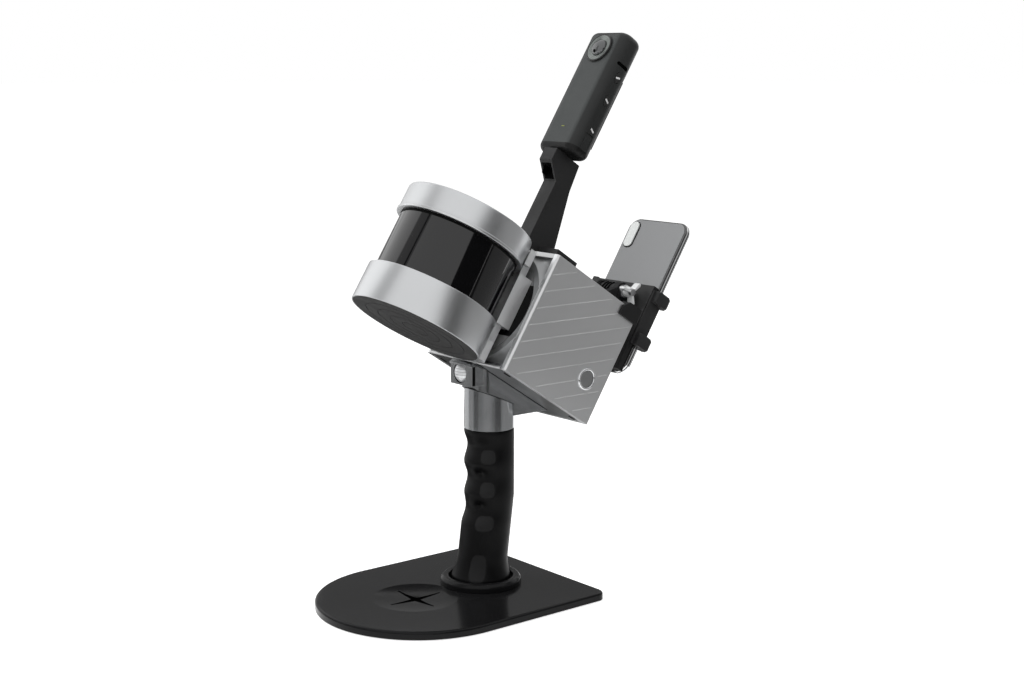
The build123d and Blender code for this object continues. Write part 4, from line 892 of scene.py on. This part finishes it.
# Box
BOX_HALF = 50.8
POWER_BEHIND, POWER_UP, POWER_CLEAR = 81.6, -19.1, 12.2
GROOVE_COUNT, GROOVE_TOP, GROOVE_PITCH, GROOVE_HALF = 10, 33.0, 12.5, 0.2
PANEL_FRONT, PANEL_BACK, PANEL_LOW, PANEL_HIGH = 3.0, 99.8, -47.7, 48.7


def groove_spans(start, side):
    """Where one groove of a side panel begins and ends, split round the power button on the right."""
    slope = math.tan(TILT)
    first = max(PANEL_FRONT, (PANEL_LOW - start) / slope)
    last = min(PANEL_BACK, (PANEL_HIGH - start) / slope)
    steps = [step / 4 for step in range(int(first * 4), int(last * 4))]
    near = [
        behind for behind in steps
        if side > 0 and math.hypot(behind - POWER_BEHIND, start + slope * behind - POWER_UP) < POWER_CLEAR
    ]
    if not near:
        return [(first, last)]
    return [(first, near[0]), (near[-1], last)]


def groove_line(shape, side, start, begin, end):
    """One bright line in a side panel, level with the floor."""
    corners = []
    for along, lift in ((begin, -GROOVE_HALF), (end, -GROOVE_HALF), (end, GROOVE_HALF), (begin, GROOVE_HALF)):
        behind = along - lift * math.sin(TILT)
        corners.append((behind, start + math.tan(TILT) * along + lift * math.cos(TILT)))
    top = [shape.verts.new((side * 50.74, behind, up)) for behind, up in corners]
    floor = [shape.verts.new((side * 50.4, behind, up)) for behind, up in corners]
    shape.faces.new(top)
    shape.faces.new(floor[::-1])
    join_rows(shape, top, floor)


def build_panel_lines():
    """Bright cut lines in the grooves of the side panels."""
    shape = bmesh.new()
    for side in (-1, 1):
        for count in range(GROOVE_COUNT):
            start = GROOVE_TOP - count * GROOVE_PITCH / math.cos(TILT)
            for begin, end in groove_spans(start, side):
                if end - begin >= 1:
                    groove_line(shape, side, start, begin, end)
    piece("panel_groove_lines", shape, HEAD_FRAME, "groove_cut", "scanner")


def build_power_bezel():
    """Rounded chrome ring round the power button."""
    place = on_right_side(BOX_HALF, POWER_BEHIND, POWER_UP)
    bezel = lathe(rounded(ring_outline(7.05, 9.1, -3.0, 1.3), [0, 0, 0.9, 0.9], steps=6), 64)
    piece("power_bezel_ring", bezel, place, "bezel_chrome", "scanner", ("button_bezel",))


def build_front_sill():
    """Rounded sill under the box's front edge."""
    section = rounded([(-1.5, -51.0), (0.6, -51.0), (0.6, -48.9), (-1.5, -48.9)], [1.0, 0.2, 0.2, 0.5])
    sill = prism(section, -45.5, 45.5, 0.2)
    piece("front_sill", sill, frame_at(HEAD, -AHEAD, UP, RIGHT), "plate_aluminium", "scanner")


def build_box_seams():
    """Black strips beside the wedge and black blocks in the bottom plate's short slots: painted shade."""
    low, high = -51.0, -50.68
    seam_middle, seam_half, slot_middle, slot_half, slot_long = 16.35, 0.35, 41.5, 1.1, 3.4
    strips = []
    for side in (-1, 1):
        middle = side * seam_middle
        strips.append(block_shape((middle - seam_half, -1.0, low), (middle + seam_half, 87.2, high), 0.05))
    for side in (-1, 1):
        for behind in (12.2, 93.0):
            middle = side * slot_middle
            corner = (middle - slot_half, behind - slot_long, low)
            far_corner = (middle + slot_half, behind + slot_long, high + 0.02)
            strips.append(block_shape(corner, far_corner, 0.05))
    piece("box_seam_shade", join_shapes(strips), HEAD_FRAME, "seal_and_shade_black", "scanner")


# Neck and start button
NECK_RADIUS, NECK_RIM, NECK_SLOPE = 20.56, 161.9, 23.7
BOSS_FRONT, BOSS_SIDE = -28.0, 13.96
BUTTON_RADIUS, BUTTON_UP = 7.9, 184.6


def build_boss_gap():
    """Black strips down both sides of the front boss: painted shade of the gaps there."""
    gap = bmesh.new()
    inner, back, low, high = 13.0, -25.2, 175.4, 190.8
    outline = ((inner, BOSS_FRONT), (BOSS_SIDE, BOSS_FRONT), (BOSS_SIDE, back), (inner, back))
    for side in (-1, 1):
        bottom = [gap.verts.new((side * x, y, low)) for x, y in outline]
        top = [gap.verts.new((side * x, y, high)) for x, y in outline]
        gap.faces.new(bottom)
        gap.faces.new(top)
        join_rows(gap, bottom, top)
    piece("boss_gap_shade", gap, STAND_FRAME, "seal_and_shade_black", "scanner")


def build_boss_brow():
    """Slanted brow that closes the notch above the front boss."""
    section = [(-29.95, 190.6), (-29.95, 192.2), (-26.2, 194.4), (-20.7, 190.9), (-20.7, 190.6)]
    upright = frame_at(Vector(), STAND_BACK, STAND_UP, RIGHT)
    brow = prism(section, -13.7, 13.7, 0.2)
    piece("boss_brow", brow, upright, "shaded_wedge_aluminium", "scanner")


def build_neck_rim():
    """Black band along the slanted rim of the neck: painted shade of the gap there."""
    rim = bmesh.new()
    rows = []
    deep, inner, sectors = -0.55, 0.95, 96
    for k in range(sectors):
        angle = 2 * math.pi * k / sectors
        x, y = NECK_RADIUS * math.cos(angle), NECK_RADIUS * math.sin(angle)
        top = NECK_RIM - y * math.tan(math.radians(NECK_SLOPE))
        section = ((1, deep), (1, 0.0), (inner, 0.0), (inner, deep))
        rows.append([rim.verts.new((x * share, y * share, top + lift)) for share, lift in section])
    for near, far in zip(rows, rows[1:] + rows[:1]):
        join_rows(rim, near, far)
    piece("neck_rim_gap_shade", rim, STAND_FRAME, "seal_and_shade_black", "scanner")


def build_start_button():
    """Domed start button in the front boss."""
    face = frame_at(Vector((0, -26.6, BUTTON_UP)) * MM, RIGHT, STAND_UP, -STAND_BACK)
    cap = lathe(dome_outline(BUTTON_RADIUS, 0, 0.8, 5.0, 16), 96)
    piece("start_button_cap", cap, face, "start_button", "start_key", ("start_button",))


# Camera and its arm
CAMERA_FOOT, CAMERA_TALL, CAMERA_BEHIND = 138.35, 114.0, -1.8
CAMERA_HALF_WIDTH, CAMERA_HALF_DEPTH = 23.05, 12.2
LENS_BELOW_TOP = 17.9
DOME_RADIUS, DOME_RIM, DOME_RISE = 7.45, 0.9, 4.6


def build_lens(name, facing, stands_for):
    """Lens of the pocket camera: rim, ridged ring, glass dome and a painted dark reflection, in front for 1
    and behind for -1.
    """
    height = CAMERA_FOOT + CAMERA_TALL - LENS_BELOW_TOP
    behind = CAMERA_BEHIND - facing * CAMERA_HALF_DEPTH
    place = frame_at(in_head(0, behind, height), RIGHT * facing, UP, AHEAD * facing)
    rim = lathe(rounded(ring_outline(11.8, 13.0, -1.0, 1.9), [0, 0, 0.6, 0.3]))
    piece(name + "_rim", rim, place, "camera_keys", "scanner", stands_for)
    section = [
        (7.5, -1.0), (11.85, -1.0), (11.85, 1.7), (11.1, 1.9), (10.4, 1.3), (9.6, 1.6), (8.9, 1.0),
        (8.3, 1.2), (7.5, 0.9),
    ]
    cone = lathe(rounded(section, [0, 0, 0.2, 0.3, 0.2, 0.3, 0.2, 0.2, 0]))
    piece(name + "_cone", cone, place, "lens_ring", "scanner")
    dome = lathe(dome_outline(DOME_RADIUS, -0.8, DOME_RIM, DOME_RISE, 10), 64)
    piece(name + "_dome", dome, place, "lens_glass", "scanner")
    # Black disc low on the dome: a painted dark reflection in the glass
    painted_dark_reflection = lathe([(0, -0.5), (1.5, -0.5), (1.5, 0.0), (0.8, 0.12), (0, 0.16)], 48)
    lowered = Matrix.Translation(Vector((0, -5.2, 4.15)) * MM) @ Matrix.Rotation(math.radians(34), 4, "X")
    piece(name + "_pupil", painted_dark_reflection, place @ lowered, "slot_black", "scanner")


def build_camera_marks():
    """Black block of painted shade in the groove on the pocket camera's side, status lamp on its face and
    white strokes on its side.
    """
    groove = block_shape((20.0, -6.8, 223.4), (22.4, 3.8, 226.25), 0.1)
    piece("camera_side_groove_shade", groove, HEAD_FRAME, "slot_black", "scanner")
    face = on_front(0.6, CAMERA_BEHIND - CAMERA_HALF_DEPTH, 159.6)
    lamp = prism(rounded(plate_outline(1.8, 0.35), 0.3), -0.3, 0.12, 0.05)
    piece("camera_status_lamp", lamp, face, "status_lamp", "scanner")
    stroke = rounded(plate_outline(2.3, 0.75), 0.6)
    for label, height, proud, turn, body in (
        ("power_key_mark", 213.35, 0.5, 20, "camera_power"),
        ("mode_key_mark", 191.35, 0.5, -25, "camera_mode"),
        ("door_mark", 163.0, 0.0, -25, "scanner"),
    ):
        side = on_right_side(CAMERA_HALF_WIDTH + proud, CAMERA_BEHIND, height)
        place = side @ Matrix.Rotation(math.radians(turn), 4, "Z")
        piece("camera_" + label, prism(stroke, -0.1, 0.06), place, "mark_white", body)


def build_arm_slot():
    """Black sheets inside the slot in the camera arm's top: painted shade of its depths."""
    painted_shade = [
        block_shape((-5.7, -2.7, 116.0), (5.7, -2.48, 126.0), 0.05),
        block_shape((-5.82, -8.3, 118.5), (-5.7, -2.5, 126.0), 0.05),
    ]
    piece("arm_slot_painted_shade", join_shapes(painted_shade), HEAD_FRAME, "slot_black", "scanner")


# Phone clamp
PIVOT_BEHIND, PIVOT_UP = 110.0, 72.7
JAW_INSIDE, JAW_BEHIND = 35.65, 124.0


def build_knob():
    """Wing knob with three slim blades on a hub."""
    place = on_right_side(18.0, PIVOT_BEHIND, PIVOT_UP)
    section = [(0, 0), (4.4, 0), (4.4, 3.6), (2.8, 6.4), (0, 6.4)]
    hub = lathe(rounded(section, [0, 0.6, 1.6, 1.2, 0], steps=5), 48)
    piece("clamp_knob_hub", hub, place, "knob_white", "clamp_knob", ("clamp_knob",))
    root, tip, foot, top = -0.6, 11.0, 2.4, 8.8
    outline = rounded([(root, -1.0), (tip, -1.3), (tip, 1.3), (root, 1.0)], [0, 1.2, 1.2, 0], steps=6)
    blades = []
    for turn in (67, 187, 307):
        blade = prism(outline, foot, top, 0.7)
        move_shape(blade, Matrix.Rotation(math.radians(turn), 4, "Z"))
        blades.append(blade)
    piece("clamp_knob_blades", join_shapes(blades), place, "knob_white", "clamp_knob")


def build_moving_jaw():
    """Sliding jaw: a wall beside the phone, two rounded fingers and its guide rods."""
    shapes = [block_shape((JAW_INSIDE, 121.6, 33.0), (37.4, 136.4, 82.0), 0.8)]
    outside, back, hook, tip = 41.9, 140.7, 31.8, 135.95
    finger = rounded(
        [(JAW_INSIDE, JAW_BEHIND), (outside, JAW_BEHIND), (outside, back), (hook, back), (hook, tip),
         (JAW_INSIDE, tip)],
        [0.5, 2.2, 3.4, 1.8, 0.6, 0.6], steps=6,
    )
    for low, high in ((32.6, 43.6), (72.4, 83.0)):
        shapes.append(prism(finger, low, high, 1.8, 4))
    rod_start, rod_long, rod_radius = -14.25, 50, 1.4
    for height in (48.0, 82.0):
        rod = lathe(rounded(ring_outline(0, rod_radius, 0, rod_long), [0, 0.3, 0.3, 0]), 24)
        move_shape(rod, frame_at(Vector((rod_start, 123.8, height)), STAND_BACK, STAND_UP, RIGHT))
        shapes.append(rod)
    piece("sliding_phone_jaw", join_shapes(shapes), HEAD_FRAME, "jaw_plastic", "moving_jaw", ("moving_jaw",))


def barrel_slot(middle):
    """Slanted black strip over the barrel that the phone clamp turns on, painted shade of a slot."""
    slot = bmesh.new()
    half, core, skin = 0.7, 6.2, 7.08
    section = ((-half, core), (-half, skin), (half, skin), (half, core))
    rows = []
    for step in range(11):
        turn = math.radians(-38 + 8.0 * step)
        x = middle + 0.055 * math.degrees(turn)
        row = []
        for side, radius in section:
            behind = PIVOT_BEHIND - radius * math.cos(turn)
            row.append(slot.verts.new((x + side, behind, PIVOT_UP + radius * math.sin(turn))))
        rows.append(row)
    for near, far in zip(rows, rows[1:]):
        join_rows(slot, near, far)
    slot.faces.new(rows[0])
    slot.faces.new(rows[-1])
    return slot


def build_grip_slots():
    """Black strips between the ribs of the clamp's barrel and of the bracket's ear, painted shade of the
    slots.
    """
    for label, body, middles in (
        ("clamp", "phone_clamp", (-4.2, -0.6, 3.0)),
        ("bracket", "scanner", (-12.2, -9.8)),
    ):
        slots = join_shapes([barrel_slot(middle) for middle in middles])
        piece(label + "_grip_slot_shade", slots, HEAD_FRAME, "slot_black", body)


def build_phone_camera():
    """Camera bump on the phone's back, with a black rim round it as a painted shadow."""
    place = on_front(-26.2, 128.1, 134.0)
    rim = prism(rounded(plate_outline(5.7, 12.8), 5.4, steps=10), -0.1, 0.35, 0.1)
    piece("phone_camera_shadow_rim", rim, place, "seal_and_shade_black", "phone_clamp")
    bump = prism(rounded(plate_outline(4.9, 12.1), 4.7, steps=10), 0.0, 1.4, 0.5)
    piece("phone_camera_bump", bump, place, "phone_camera", "phone_clamp", ("phone_camera",))


dress_nodes()
build_grip()
build_collar()
build_sight()
build_laser_rings()
build_panel_lines()
build_lens("front_lens", 1, ("lens_rings", "camera_lenses"))
build_lens("rear_lens", -1, ())
build_camera_marks()
build_power_bezel()
build_boss_gap()
build_boss_brow()
build_front_sill()
build_box_seams()
build_neck_rim()
build_arm_slot()
build_knob()
build_moving_jaw()
build_start_button()
build_phone_camera()
build_grip_slots()

bpy.context.scene.view_settings.view_transform = "Standard"
place_camera()
white_room()
pale_floor()
soft_lamp("key_lamp", (-1.3, -1.1, 1.5), (0, 0, 0.25), 0.9, 22)
soft_lamp("top_lamp", (0.5, -0.5, 1.9), (0, 0, 0.25), 1.2, 14)
set_out_cards()
